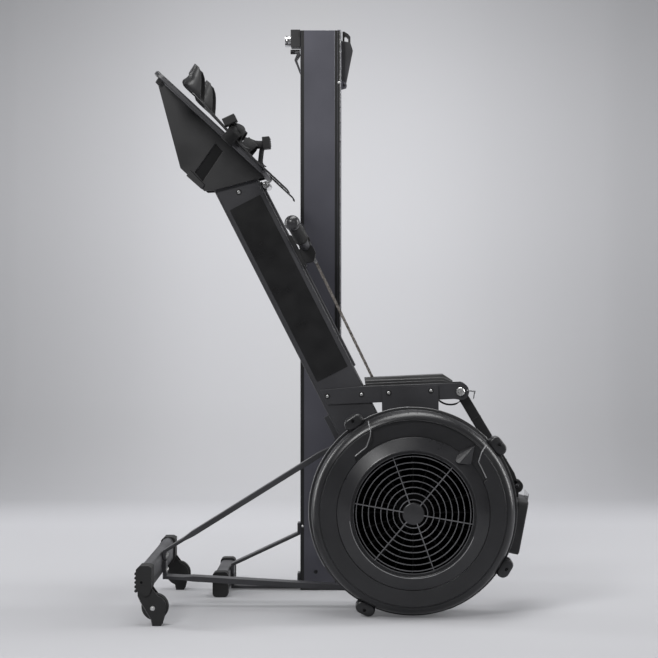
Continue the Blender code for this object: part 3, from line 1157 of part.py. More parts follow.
def make_seat(finish, rubber, roller_finish):
    """The seat: a carriage over the track, its rollers, and the moulded pad."""
    middle = (SEAT_LOW + SEAT_HIGH) / 2
    base_low = SEAT_BACK - SEAT_GAP - 0.009
    carriage = add_piece("seat_carriage", at_rail(box((base_low, -CARRIAGE_OUTER, SEAT_LOW + 0.022),
                                                      (SEAT_BACK - SEAT_GAP, CARRIAGE_OUTER, SEAT_HIGH - 0.022))),
                         finish, "seat")
    side_plate = [(base_low + 0.004, SEAT_LOW + 0.024), (-0.1700, SEAT_LOW + 0.034), (-0.1960, middle - 0.040),
                  (-0.1960, middle + 0.040), (-0.1700, SEAT_HIGH - 0.034), (base_low + 0.004, SEAT_HIGH - 0.024)]
    for low, high in ((-CARRIAGE_OUTER, -CARRIAGE_INNER), (CARRIAGE_INNER, CARRIAGE_OUTER)):
        join(carriage, at_rail(prism_y(side_plate, low, high)))
    top_x = RAIL_RIGHT + 0.0003 + TOP_ROLLER
    for label, z in (("top", SEAT_HIGH - 0.055), ("bottom", SEAT_LOW + 0.055)):
        join(carriage, at_rail(disc((top_x, z), 0.004, -CARRIAGE_OUTER + 0.001, CARRIAGE_OUTER - 0.001, 12)))
        body = f"roller_{label}"
        add_body(body, (top_x, RAIL_Y, z), "seat")
        profile = [(0.0046, -0.026), (TOP_ROLLER - 0.0015, -0.026), (TOP_ROLLER, -0.0245), (TOP_ROLLER, 0.0245),
                   (TOP_ROLLER - 0.0015, 0.026), (0.0046, 0.026)]
        add_piece(f"seat_roller_{label}", at_rail(turned(profile, (top_x, z), 18)), roller_finish, body)
    guide_x = RAIL_RIGHT - TRACK_THICK - 0.0003 - GUIDE_ROLLER
    for label, side in (("right", -1), ("left", 1)):
        near, far = sorted((side * 0.0232, side * (CARRIAGE_OUTER - 0.001)))
        join(carriage, at_rail(disc((guide_x, middle), 0.003, near, far, 12)))
        body = f"guide_{label}"
        low, high = sorted((side * 0.0235, side * 0.0305))
        add_body(body, (guide_x, RAIL_Y + (low + high) / 2, middle), "seat")
        profile = [(0.0036, low), (GUIDE_ROLLER, low), (GUIDE_ROLLER, high), (0.0036, high)]
        add_piece(f"seat_guide_{label}", at_rail(turned(profile, (guide_x, middle), 14)), roller_finish, body)
    make_pad(rubber, middle)


def make_pad(rubber, middle):
    """A seat pad, waisted at the front, hollowed for the sitter, with rounded edges."""
    rings = []
    half_long, half_wide = (SEAT_HIGH - SEAT_LOW) / 2, SEAT_HALF
    outline = []
    for i in range(36):
        angle = math.tau * i / 36
        c, s = math.cos(angle), math.sin(angle)
        y = math.copysign(abs(c) ** 0.62, c) * half_wide
        z = math.copysign(abs(s) ** 0.62, s) * half_long
        if s > 0:
            y *= 1 - 0.10 * s
            z -= 0.035 * s * math.exp(-(y / 0.035) ** 2)
        outline.append((y, z))
    for x, scale in ((SEAT_BACK, 0.93), (SEAT_BACK + 0.008, 0.985), (SEAT_BACK + 0.020, 1.0),
                     (SEAT_FACE - 0.010, 0.985), (SEAT_FACE - 0.003, 0.95), (SEAT_FACE, 0.88)):
        rings.append([(x, y * scale, middle + z * scale) for y, z in outline])
    rings.append([(SEAT_FACE - 0.009, y * 0.45, middle + z * 0.45) for y, z in outline])
    add_piece("seat_pad", at_rail(loft(rings)), rubber, "seat")


def centre_all(root):
    """Moves the root so that the whole object stands on the origin, by the middle of its box."""
    bpy.context.view_layer.update()
    graph = bpy.context.evaluated_depsgraph_get()
    low, high = Vector((9, 9, 9)), Vector((-9, -9, -9))
    for piece in pieces:
        shown = piece.evaluated_get(graph)
        mesh = shown.to_mesh()
        for vertex in mesh.vertices:
            spot = shown.matrix_world @ vertex.co
            low = Vector(map(min, low, spot))
            high = Vector(map(max, high, spot))
        shown.to_mesh_clear()
    root.location -= Vector(((low.x + high.x) / 2, (low.y + high.y) / 2, low.z))


def main():
    clear_scene()
    black_steel = paint("black_steel", (0.022, 0.022, 0.024), 0.38, 0.35)
    black_plastic = paint("black_plastic", (0.018, 0.018, 0.019), 0.50)
    grey_plastic = paint("grey_plastic", (0.060, 0.060, 0.064), 0.45)
    rubber = paint("rubber", (0.013, 0.013, 0.013), 0.82)
    steel = paint("bright_steel", (0.55, 0.55, 0.56), 0.28, 1.0)
    alloy = paint("grey_alloy", (0.085, 0.085, 0.105), 0.42, 0.75)
    webbing = paint("webbing", (0.016, 0.016, 0.017), 0.88)

    add_body("machine")
    add_body("damper", (0, COVER_FRONT, AXLE_Z), "machine")
    add_body("fan", (0, FAN_FRONT + FAN_WIDTH / 2, AXLE_Z), "machine")
    add_body("sprocket", (0, 0, AXLE_Z), "machine")
    pulley = tube_point(RETURN_UP, 0)
    add_body("return_block", (pulley[0], 0, pulley[1]), "machine")
    add_body("monitor_arm", (ARM_PIVOT[0], 0, ARM_PIVOT[1]), "machine")
    add_body("monitor", (KNUCKLE[0], 0, KNUCKLE[1]), "monitor_arm")
    add_body("handle", (HANDLE[0], 0, HANDLE[1]), "machine")
    add_body("rail_section", (RAIL_LEFT, RAIL_Y, 0), "machine")
    add_body("latch", (LATCH_PIVOT[0], RAIL_Y, LATCH_PIVOT[1]), "rail_section")
    add_body("knob", (RAIL_LEFT - 0.024, RAIL_Y, KNOB_Z), "rail_section")
    add_body("seat", (SEAT_BACK, RAIL_Y, (SEAT_LOW + SEAT_HIGH) / 2), "rail_section")

    make_fan_cover(black_plastic)
    make_rear_cover(black_plastic)
    make_grille(grey_plastic)
    make_damper(grey_plastic)
    make_fan(steel, black_plastic)
    make_axle(steel)
    make_sprocket(steel)
    chain_end = make_chain(steel)
    make_return(steel, black_plastic, rubber, chain_end)
    make_main_tube(black_steel)
    make_head(black_steel, black_plastic, steel)
    make_monitor(black_steel, black_plastic, grey_plastic)
    make_front_foot(black_steel, rubber, grey_plastic)
    make_legs(black_steel)
    make_footrest(black_plastic, black_plastic)
    make_shoes(black_plastic, webbing)
    make_handle(black_steel, rubber, steel, black_plastic)
    make_rail(black_steel, alloy, black_plastic, steel, rubber)
    make_seat(black_steel, rubber, grey_plastic)
    centre_all(bodies["machine"][0])


main()
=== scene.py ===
"""Looks of the air rowing machine: finishes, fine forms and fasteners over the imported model.

Metres. Places are measured from the fan's axle (X), the flywheel section's middle plane (Y)
and the floor (Z); at() moves them into the frame.
"""

import json
import math

import bmesh
import bpy
from mathutils import Matrix, Vector


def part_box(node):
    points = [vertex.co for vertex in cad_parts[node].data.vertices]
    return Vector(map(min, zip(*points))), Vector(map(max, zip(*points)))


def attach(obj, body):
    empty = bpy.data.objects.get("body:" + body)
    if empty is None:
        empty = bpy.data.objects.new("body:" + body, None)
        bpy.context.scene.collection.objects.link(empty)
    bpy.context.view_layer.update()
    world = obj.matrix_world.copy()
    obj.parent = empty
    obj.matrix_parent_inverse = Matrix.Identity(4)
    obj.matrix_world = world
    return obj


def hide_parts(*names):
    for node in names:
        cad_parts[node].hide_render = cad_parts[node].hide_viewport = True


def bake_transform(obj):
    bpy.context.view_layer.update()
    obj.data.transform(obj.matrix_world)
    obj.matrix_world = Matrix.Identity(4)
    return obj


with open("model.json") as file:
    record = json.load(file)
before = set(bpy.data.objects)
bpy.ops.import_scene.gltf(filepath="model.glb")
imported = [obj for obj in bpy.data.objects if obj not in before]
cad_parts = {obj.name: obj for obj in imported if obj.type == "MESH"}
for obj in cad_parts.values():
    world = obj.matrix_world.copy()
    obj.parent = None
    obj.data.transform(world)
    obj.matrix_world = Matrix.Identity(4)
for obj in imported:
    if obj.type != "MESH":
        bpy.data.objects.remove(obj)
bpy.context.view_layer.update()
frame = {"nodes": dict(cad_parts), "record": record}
nodes = frame["nodes"]


def middle(node):
    low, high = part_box(node)
    return (Vector(low) + Vector(high)) / 2


AXLE_AT = middle("hub_bearing")
ORIGIN = Vector((AXLE_AT.x, middle("main_tube").y, 0))
AXLE_Z = AXLE_AT.z
AXIS = 0.00001  # radius that closes a turned profile at its axis
WELD = 2e-5
SIDES = (("right", -1), ("left", 1))

MONITOR_ANGLE = -100.8
KNUCKLE = (0.2446, 0.2804)
ARM_PIVOT = (0.1125, 0.5020)

# Fan housing
SEAM_Y = -0.140
LIP_RADIUS = 0.236
SHELL_RADIUS = 0.229
COVER_FACE = -0.197
REAR_FACE = -0.048
RING_OUTER = 0.171
OPENING_RADIUS = 0.1405
DAMPER_ANGLE = 48
WINDOW_INNER = 0.1815
LUG_ANGLES = (38.0, 123.5, 243.6, 328.6)

# Main tube
TUBE_SLANT = 117.0
TUBE_TOP = (-0.4169, 0.9998)
TUBE_LENGTH = 0.710
TUBE_DEPTH = 0.1035
TUBE_HALF = 0.035

# Footrest board
BOARD_TOE = (-0.3400, 0.9973)
BOARD_ANGLE = 137.2
SHOE_Y = 0.162

# Rail
RAIL_Y = 0.280


def at(x, y, z):
    """A point of the flywheel section, in the frame."""
    return ORIGIN + Vector((x, y, z))


def direction(angle):
    return (math.cos(math.radians(angle)), math.sin(math.radians(angle)))


def polar(radius, angle, y):
    """A point round the fan's axle."""
    c, s = direction(angle)
    return at(radius * c, y, AXLE_Z + radius * s)


def span(side, inner, outer):
    """Two distances on one side of the middle plane, the lower one first."""
    return sorted((side * inner, side * outer))


def tube_point(up, right, y):
    """A point measured along the main tube from its foot, and across it."""
    c, s = direction(TUBE_SLANT)
    foot = (TUBE_TOP[0] - c * TUBE_LENGTH, TUBE_TOP[1] - s * TUBE_LENGTH)
    return at(foot[0] + c * up + s * right, y, foot[1] + s * up - c * right)


def board_point(run, rise, y):
    """A point measured up the footrest's board from its toe, and square to it."""
    c, s = direction(BOARD_ANGLE)
    return at(BOARD_TOE[0] + c * run + s * rise, y, BOARD_TOE[1] + s * run - c * rise)


def heading(angle):
    """A direction in the machine's plane, at an angle from X towards Z."""
    c, s = direction(angle)
    return Vector((c, 0, s))


ALONG_BOARD = heading(BOARD_ANGLE)
OFF_BOARD = heading(BOARD_ANGLE - 90)


# Finishes


def add_node(tree, kind, inputs, **settings):
    """Adds a shader node; each input gets a value, or a link from another node's socket."""
    node = tree.nodes.new("ShaderNode" + kind)
    for name, value in settings.items():
        setattr(node, name, value)
    for slot, value in inputs.items():
        if isinstance(value, bpy.types.NodeSocket):
            tree.links.new(value, node.inputs[slot])
        else:
            node.inputs[slot].default_value = value
    return node


def product(tree, first, second):
    return add_node(tree, "Math", {0: first, 1: second}, operation="MULTIPLY").outputs["Value"]


def object_place(tree):
    return tree.nodes.new("ShaderNodeTexCoord").outputs["Object"]


def new_finish(name, values):
    """Makes a material, and sets what its surface keeps at one value."""
    finish = bpy.data.materials.new(name)
    finish.use_nodes = True
    surface = finish.node_tree.nodes["Principled BSDF"]
    for slot, value in values.items():
        surface.inputs[slot].default_value = value
    return finish, finish.node_tree, surface


def noise_of(tree, scale, detail, stretch=None):
    """A noise on object coordinates, stretched where a grain has a direction."""
    place = object_place(tree)
    if stretch:
        place = add_node(tree, "Mapping", {"Vector": place, "Scale": stretch}).outputs["Vector"]
    return add_node(tree, "TexNoise", {"Vector": place, "Scale": scale, "Detail": detail}).outputs["Fac"]


def two_tones(tree, surface, source, low, high, dark, light):
    """Turns a pattern into two tones that meet between low and high."""
    ramp = add_node(tree, "ValToRGB", {"Fac": source})
    for mark, place, colour in zip(ramp.color_ramp.elements, (low, high), (dark, light)):
        mark.position = place
        mark.color = (*colour, 1)
    tree.links.new(ramp.outputs["Color"], surface.inputs["Base Color"])


def bump_of(tree, surface, source, strength, distance):
    bump = add_node(tree, "Bump", {"Height": source, "Strength": strength, "Distance": distance})
    tree.links.new(bump.outputs["Normal"], surface.inputs["Normal"])


def patterned(name, dark, light, rough, cloud, grain=None, values=None):
    """A finish whose tone and roughness drift over a cloud, under a fine grain.

    The cloud is (scale, detail, low, high) and the grain (scale, detail, strength, distance, stretch).
    """
    finish, tree, surface = new_finish(name, values or {})
    source = noise_of(tree, *cloud[:2])
    two_tones(tree, surface, source, *cloud[2:], dark, light)
    spread = {"Value": source, "From Min": 0.3, "From Max": 0.7, "To Min": rough[0], "To Max": rough[1]}
    tree.links.new(add_node(tree, "MapRange", spread).outputs["Result"], surface.inputs["Roughness"])
    if grain:
        bump_of(tree, surface, noise_of(tree, *grain[:2], *grain[4:]), *grain[2:4])
    return finish


def moulded(name, dark, light, rough, grain=0.5, gloss=0.5):
    """Moulded plastic with spark-eroded grain and slightly rubbed patches."""
    return patterned(name, dark, light, rough, (14, 5, 0.32, 0.68), (900, 4, grain, 0.00012),
        {"Specular IOR Level": gloss})


def rubber(name, dark, light):
    """Matt rubber, a little dusty."""
    return patterned(name, dark, light, (0.72, 0.9), (60, 6, 0.35, 0.75), (1800, 2, 0.5, 0.0001),
        {"Sheen Weight": 0.05})


def metal(name, dark, light, rough):
    """Plated or machined steel with fine marks."""
    return patterned(name, dark, light, rough, (260, 4, 0.3, 0.7), (260, 4, 0.15, 0.00005), {"Metallic": 1.0})


def woven_webbing():
    """Black webbing: a fine two-way weave on object coordinates."""
    finish, tree, surface = new_finish("webbing", {"Roughness": 0.85, "Sheen Weight": 0.05,
        "Specular IOR Level": 0.3})
    place = object_place(tree)
    weave = [add_node(tree, "TexWave", {"Vector": place, "Scale": 320, "Distortion": 0.4},
        bands_direction=axis) for axis in ("X", "Z")]
    cross = product(tree, *[wave.outputs["Fac"] for wave in weave])
    bump_of(tree, surface, cross, 0.8, 0.0004)
    two_tones(tree, surface, cross, 0.0, 0.8, (0.004, 0.004, 0.0045), (0.014, 0.014, 0.015))
    return finish


def seat_foam():
    """Skinned foam of the seat pad: a fine leathery pebble."""
    finish = patterned("seat_foam", (0.012, 0.012, 0.013), (0.024, 0.024, 0.026), (0.55, 0.72),
        (12, 4, 0.35, 0.7))
    tree = finish.node_tree
    pebble = add_node(tree, "TexVoronoi", {"Vector": object_place(tree), "Scale": 420})
    bump_of(tree, tree.nodes["Principled BSDF"], pebble.outputs["Distance"], 0.5, 0.0003)
    return finish


# Satin black powder coat with orange peel, and dark anodised alloy drawn along its length
POWDER = patterned("powder_coat", (0.026, 0.026, 0.029), (0.038, 0.038, 0.043), (0.36, 0.50),
    (9, 4, 0.3, 0.7), (1500, 2, 0.35, 0.00008))
ALLOY = patterned("rail_alloy", (0.082, 0.082, 0.100), (0.102, 0.102, 0.123), (0.36, 0.46), (5, 4, 0.3, 0.7),
    (500, 3, 0.25, 0.00005, (1, 1, 0.01)), {"Metallic": 0.35})
# The bare panel on the tube: a smoother, slightly glossy film
PANEL = patterned("plain_panel", (0.0058, 0.0058, 0.0064), (0.0072, 0.0072, 0.0078), (0.27, 0.34),
    (25, 2, 0.35, 0.65), (25, 2, 0.02, 0.0003))
GLASS = patterned("screen_glass", (0.008, 0.009, 0.010), (0.008, 0.009, 0.010), (0.08, 0.2),
    (18, 4, 0.3, 0.7), values={"Coat Weight": 0.5})
HOUSING = moulded("housing_plastic", (0.010, 0.010, 0.011), (0.016, 0.016, 0.018), (0.29, 0.34))
RING = moulded("damper_plastic", (0.019, 0.019, 0.021), (0.028, 0.028, 0.030), (0.27, 0.32))
PLASTIC = moulded("black_plastic", (0.012, 0.012, 0.013), (0.020, 0.020, 0.021), (0.38, 0.52))
WIRE = moulded("grille_wire", (0.10, 0.10, 0.105), (0.14, 0.14, 0.148), (0.32, 0.45), 0.2)
# Near-black that paints shade: inside the housing behind the grille, in holes and dimples, and in the gaps round
# the keys.
PAINTED_SHADE = moulded("painted_shade", (0.0012, 0.0012, 0.0012), (0.0025, 0.0025, 0.0026), (0.6, 0.8), gloss=0.12)
GLOSS = moulded("polished_plastic", (0.020, 0.020, 0.022), (0.030, 0.030, 0.032), (0.25, 0.31), 0.1)
# Light grey for rods that paint highlights on edges, the lip and the damper's nose.
PAINTED_HIGHLIGHT = moulded("painted_highlight", (0.18, 0.18, 0.185), (0.28, 0.28, 0.285), (0.18, 0.32), 0.2)
# Mid grey for rods that paint dimmer highlights on edges, lips and creases.
RIM_HIGHLIGHT = moulded("board_rim_highlight", (0.055, 0.055, 0.058), (0.085, 0.085, 0.088), (0.25, 0.36), 0.2)
RECESS = moulded("panel_recess", (0.010, 0.010, 0.010), (0.014, 0.014, 0.015), (0.6, 0.7), gloss=0.12)
DEEP_BLACK = moulded("deep_black", (0.004, 0.004, 0.004), (0.007, 0.007, 0.008), (0.4, 0.5))
RUBBER = rubber("soft_rubber", (0.010, 0.010, 0.010), (0.020, 0.020, 0.021))
TYRE = rubber("caster_tyre", (0.012, 0.012, 0.012), (0.026, 0.026, 0.027))
GRIP = rubber("grip_rubber", (0.004, 0.004, 0.004), (0.009, 0.009, 0.0095))
CHROME = metal("chrome", (0.55, 0.55, 0.56), (0.72, 0.72, 0.73), (0.10, 0.22))
ZINC = metal("zinc_screws", (0.50, 0.50, 0.50), (0.72, 0.72, 0.71), (0.25, 0.4))
STEEL = metal("machined_steel", (0.30, 0.30, 0.31), (0.46, 0.46, 0.47), (0.28, 0.42))
CHAIN = metal("oiled_chain", (0.16, 0.145, 0.13), (0.44, 0.41, 0.38), (0.3, 0.45))
BLACK_OXIDE = metal("black_screws", (0.03, 0.03, 0.03), (0.07, 0.07, 0.075), (0.35, 0.5))
WEBBING = woven_webbing()
FOAM = seat_foam()


# Making and finishing pieces


def in_scene(name, data):
    """Adds an object to the scene."""
    thing = bpy.data.objects.new(name, data)
    bpy.context.scene.collection.objects.link(thing)
    return thing


def round_edges(piece, width, segments=2, angle=40):
    """Rounds a piece's hard edges with a live bevel."""
    bevel = piece.modifiers.new("Rounded edges", "BEVEL")
    bevel.width = width
    bevel.segments = segments
    bevel.limit_method = "ANGLE"
    bevel.angle_limit = math.radians(angle)
    bevel.use_clamp_overlap = True
    bevel.harden_normals = True


def thicken(piece, thickness):
    wall = piece.modifiers.new("Thickness", "SOLIDIFY")
    wall.thickness = thickness
    wall.offset = 0


def new_piece(name, bm, finish, body, *stands_for, smooth=35, rounded=()):
    """Makes a bmesh a piece that rides on a body, if one is named; rounded is for round_edges."""
    bmesh.ops.remove_doubles(bm, verts=bm.verts, dist=1e-6)
    bmesh.ops.recalc_face_normals(bm, faces=bm.faces)
    mesh = bpy.data.meshes.new(name)
    bm.to_mesh(mesh)
    bm.free()
    mesh.materials.append(finish)
    mesh.shade_smooth()
    mesh.set_sharp_from_angle(angle=math.radians(smooth))
    piece = in_scene(name, mesh)
    if body:
        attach(piece, body)
    if stands_for:
        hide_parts(*stands_for)
    if rounded:
        round_edges(piece, *rounded)
    return piece


def body_of_node(node):
    members = frame["record"]["behaviour"]["bodies"]
    return next(body for body in members if node in members[body])


def soften(node, finish, width=0.0010, segments=2, angle=32):
    """Replaces a node by its own merged copy with its hard edges rounded over."""
    bm = bmesh.new()
    bm.from_mesh(nodes[node].data)
    bmesh.ops.remove_doubles(bm, verts=bm.verts, dist=WELD)
    bmesh.ops.dissolve_limit(bm, angle_limit=math.radians(1.0), verts=bm.verts, edges=bm.edges)
    new_piece(f"{node}_shell", bm, finish, body_of_node(node), node, smooth=angle,
        rounded=(width, segments, angle))


def repaint(node, finish):
    """Gives a node whose shape is right a better finish."""
    mesh = nodes[node].data
    mesh.materials.clear()
    mesh.materials.append(finish)


def new_verts(made):
    return [v for v in made["geom"] if isinstance(v, bmesh.types.BMVert)]


def edge_line(bm, points):
    """A line of edges through points."""
    verts = [bm.verts.new(p) for p in points]
    return verts, [bm.edges.new(pair) for pair in zip(verts, verts[1:])]


def swept(points, vector):
    """A line of points swept by a vector into an open sheet."""
    bm = bmesh.new()
    made = bmesh.ops.extrude_edge_only(bm, edges=edge_line(bm, points)[1])
    bmesh.ops.translate(bm, verts=new_verts(made), vec=vector)
    return bm


def solid_from(points, vector):
    """Extrudes a flat outline of frame points by a vector into a closed solid."""
    bm = bmesh.new()
    face = bm.faces.new([bm.verts.new(p) for p in points])
    made = bmesh.ops.extrude_face_region(bm, geom=[face])
    bmesh.ops.translate(bm, verts=new_verts(made), vec=vector)
    bmesh.ops.recalc_face_normals(bm, faces=bm.faces)
    return bm


def plate(outline, low, high):
    """Extrudes an outline of (x, z) points between two distances from the middle plane."""
    return solid_from([at(x, low, z) for x, z in outline], (0, high - low, 0))


def turned(profile, steps=96, centre=None):
    """Turns a closed profile of (radius, y) points about the fan's axle, or another centre (x, z)."""
    x, z = centre if centre else (0, AXLE_Z)
    bm = bmesh.new()
    verts = [bm.verts.new((radius, y, 0)) for radius, y in profile]
    edges = [bm.edges.new((verts[i - 1], verts[i])) for i in range(len(verts))]
    bmesh.ops.spin(bm, geom=verts + edges, cent=(0, 0, 0), axis=(0, 1, 0), angle=math.tau, steps=steps,
        use_merge=True)
    bmesh.ops.remove_doubles(bm, verts=bm.verts, dist=1e-7)
    bmesh.ops.translate(bm, verts=bm.verts, vec=at(x, 0, z))
    return bm


def stand(bm, spot, outward):
    """Turns a shape that is built up along Z to stand at a spot, along a direction."""
    turn = outward.to_track_quat("Z", "Y").to_matrix().to_4x4()
    bmesh.ops.transform(bm, matrix=Matrix.Translation(spot) @ turn, verts=bm.verts)
    return bm


def spun(spot, outward, profile, steps=48):
    """Turns a profile of (radius, height) about a line that starts at a spot."""
    bm = bmesh.new()
    verts, edges = edge_line(bm, [(r, 0, h) for r, h in profile])
    bmesh.ops.spin(bm, geom=verts + edges, cent=(0, 0, 0), axis=(0, 0, 1), angle=math.tau, steps=steps,
        use_merge=True)
    bmesh.ops.remove_doubles(bm, verts=bm.verts, dist=WELD)
    bmesh.ops.holes_fill(bm, edges=[e for e in bm.edges if e.is_boundary])
    return stand(bm, spot, Vector(outward).normalized())


def disc_piece(name, spot, outward, profile, finish, body="machine", steps=40):
    """A turned cap on a surface: profile gives (radius, height) from its rim to its middle."""
    new_piece(name, spun(spot, outward, profile, steps), finish, body, smooth=40)


def cylinder(start, end, radius, steps):
    """A round bar between two frame points."""
    first, last = Vector(start), Vector(end)
    run = last - first
    bm = bmesh.new()
    bmesh.ops.create_cone(bm, cap_ends=True, segments=steps, radius1=radius, radius2=radius, depth=run.length)
    return stand(bm, (first + last) / 2, run)


def cross_pin(spot, half, radius, steps):
    """A round bar across the machine, through a spot at its middle."""
    reach = Vector((0, half, 0))
    return cylinder(spot - reach, spot + reach, radius, steps)


def merge(target, *others):
    """Adds other bmeshes to the first."""
    for other in others:
        mesh = bpy.data.meshes.new("part")
        other.to_mesh(mesh)
        other.free()
        target.from_mesh(mesh)
        bpy.data.meshes.remove(mesh)
    return target


def rim_at(bm, axis, place):
    """The edges that lie at one place of an axis, 0 for X and 1 for Y."""
    return [e for e in bm.edges if all(abs(v.co[axis] - place) < 1e-5 for v in e.verts)]


def bevel_edges(bm, edges, width, segments):
    bmesh.ops.bevel(bm, geom=edges, offset=width, segments=segments, profile=0.5, affect="EDGES", material=-1,
        clamp_overlap=True)


def screw(name, spot, outward, radius, finish, body="machine", washer=True):
    """A button-head socket screw with its washer, standing on a surface."""
    spot = Vector(spot)
    rise = radius * 0.55
    bm = bmesh.new()
    base = spot
    if washer:
        base = spot + Vector(outward).normalized() * 0.0009
        ring = cylinder(spot, base, radius * 1.45, 28)
        bmesh.ops.recalc_face_normals(ring, faces=ring.faces)
        sharp = [e for e in ring.edges if e.calc_face_angle(0) > math.radians(30)]
        bevel_edges(ring, sharp, 0.0003, 2)
        merge(bm, ring)
    profile = [(radius, 0), (radius, rise * 0.35), (radius * 0.86, rise * 0.75), (radius * 0.6, rise),
        (radius * 0.46, rise), (radius * 0.42, rise * 0.25), (AXIS, rise * 0.2)]
    merge(bm, spun(base, outward, profile, 24))
    new_piece(name, bm, finish, body)


def carved(bm, *tools):
    """Cuts solid shapes from a bmesh."""
    holders = []
    for shape in (bm, *tools):
        bmesh.ops.recalc_face_normals(shape, faces=shape.faces)
        mesh = bpy.data.meshes.new("carving")
        shape.to_mesh(mesh)
        shape.free()
        holders.append(in_scene("carving", mesh))
    for tool in holders[1:]:
        step = holders[0].modifiers.new("Carve", "BOOLEAN")
        step.operation = "DIFFERENCE"
        step.object = tool
    bpy.context.view_layer.update()
    graph = bpy.context.evaluated_depsgraph_get()
    result = bmesh.new()
    result.from_mesh(holders[0].evaluated_get(graph).to_mesh())
    for holder in holders:
        mesh = holder.data
        bpy.data.objects.remove(holder)
        bpy.data.meshes.remove(mesh)
    return result


# Outlines and paths


def ring_arc(centre, radius, start, end, steps):
    """Points (radius, y) or (x, z) on an arc, with angles in degrees."""
    points = []
    for i in range(steps + 1):
        c, s = direction(start + (end - start) * i / steps)
        points.append((centre[0] + radius * c, centre[1] + radius * s))
    return points


def rounded_profile(points, radius, steps=3):
    """Rounds each corner of a closed profile by up to the radius."""
    out = []
    for i, point in enumerate(points):
        here = Vector(point)
        before = Vector(points[i - 1]) - here
        after = Vector(points[(i + 1) % len(points)]) - here
        reach = min(radius, before.length * 0.45, after.length * 0.45)
        start = here + before.normalized() * reach
        end = here + after.normalized() * reach
        for k in range(steps + 1):
            t = k / steps
            out.append(tuple(start * (1 - t) ** 2 + here * (2 * t * (1 - t)) + end * t ** 2))
    return out


def rounded_box(x0, x1, y0, y1, radius, steps=3):
    return rounded_profile([(x0, y0), (x1, y0), (x1, y1), (x0, y1)], radius, steps)


def stadium(length, radius, steps):
    run = length / 2 - radius
    return ring_arc((run, 0), radius, -90, 90, steps) + ring_arc((-run, 0), radius, 90, 270, steps)


def placed(points, angle, centre):
    """Turns flat points by an angle and moves them to a centre."""
    c, s = direction(angle)
    return [(centre[0] + c * x - s * z, centre[1] + s * x + c * z) for x, z in points]


def spot_on_rim(radius, angle):
    c, s = direction(angle)
    return (radius * c, AXLE_Z + radius * s)


def wire(points, radius, sides=10, closed=False):
    """A round wire along frame points, made by sweeping a ring of vertices."""
    path = [Vector(p) for p in points]
    bm = bmesh.new()
    loops = []
    normal = None
    for i, point in enumerate(path):
        if closed:
            run = (path[(i + 1) % len(path)] - path[i - 1]).normalized()
        else:
            run = (path[min(i + 1, len(path) - 1)] - path[max(i - 1, 0)]).normalized()
        if normal is None:
            normal = run.orthogonal().normalized()
        normal = (normal - run * normal.dot(run)).normalized()
        side = run.cross(normal)
        made = bmesh.ops.create_circle(bm, cap_ends=False, segments=sides, radius=radius)["verts"]
        for vertex in made:
            vertex.co = point + normal * vertex.co.x + side * vertex.co.y
        loops.append(made)
    pairs = list(zip(loops, loops[1:]))
    if closed:
        pairs.append((loops[-1], loops[0]))
    for near, far in pairs:
        edges = [bm.edges.get((loop[i - 1], loop[i])) for loop in (near, far) for i in range(sides)]
        bmesh.ops.bridge_loops(bm, edges=edges)
    if not closed:
        for loop in (loops[0], loops[-1]):
            bmesh.ops.contextual_create(bm, geom=loop)
    bmesh.ops.recalc_face_normals(bm, faces=bm.faces)
    return bm


def highlight_rod(name, line, radius, finish, sides=8, body="machine", closed=False):
    """A fine rod in a light finish, laid along an edge or a crease to paint the highlight where it catches the
    light.
    """
    new_piece(name, wire(line, radius, sides, closed), finish, body, smooth=60)


# Fan housing


WEB_FRONT = COVER_FACE + 0.0113
WEB_BACK = WEB_FRONT + 0.003
NECK_OUTER = OPENING_RADIUS - 0.0015
NECK_INNER = NECK_OUTER - 0.0025
BAND_RADIUS = 0.0260
SLOT_COUNT = 16
RIB_COUNT = 9
RIB_HALF = 0.0012
SPOKE_COUNT = 6


def face_outline():
    """The cover's flat face: a broad C whose ends are the damper window's flared corners."""
    foot, flare = WINDOW_INNER, WINDOW_INNER + 0.008
    shape = [spot_on_rim(0.2087, angle) for angle in range(117, 403, 3)]
    shape += [spot_on_rim(flare, 400)] + [spot_on_rim(foot, angle) for angle in range(397, 384, -3)]
    shape += [spot_on_rim(RING_OUTER + 0.0008, angle) for angle in range(384, 135, -3)]
    return shape + [spot_on_rim(foot, angle) for angle in range(136, 122, -3)] + [spot_on_rim(flare, 119)]


def band_spot(radius, angle, proud=0.0):
    """A point on the cover's rounded band."""
    centre = SHELL_RADIUS - BAND_RADIUS
    share = max(-1.0, min(1.0, (radius - centre) / BAND_RADIUS))
    return polar(radius, angle, COVER_FACE + BAND_RADIUS - BAND_RADIUS * math.sqrt(1 - share * share) - proud)


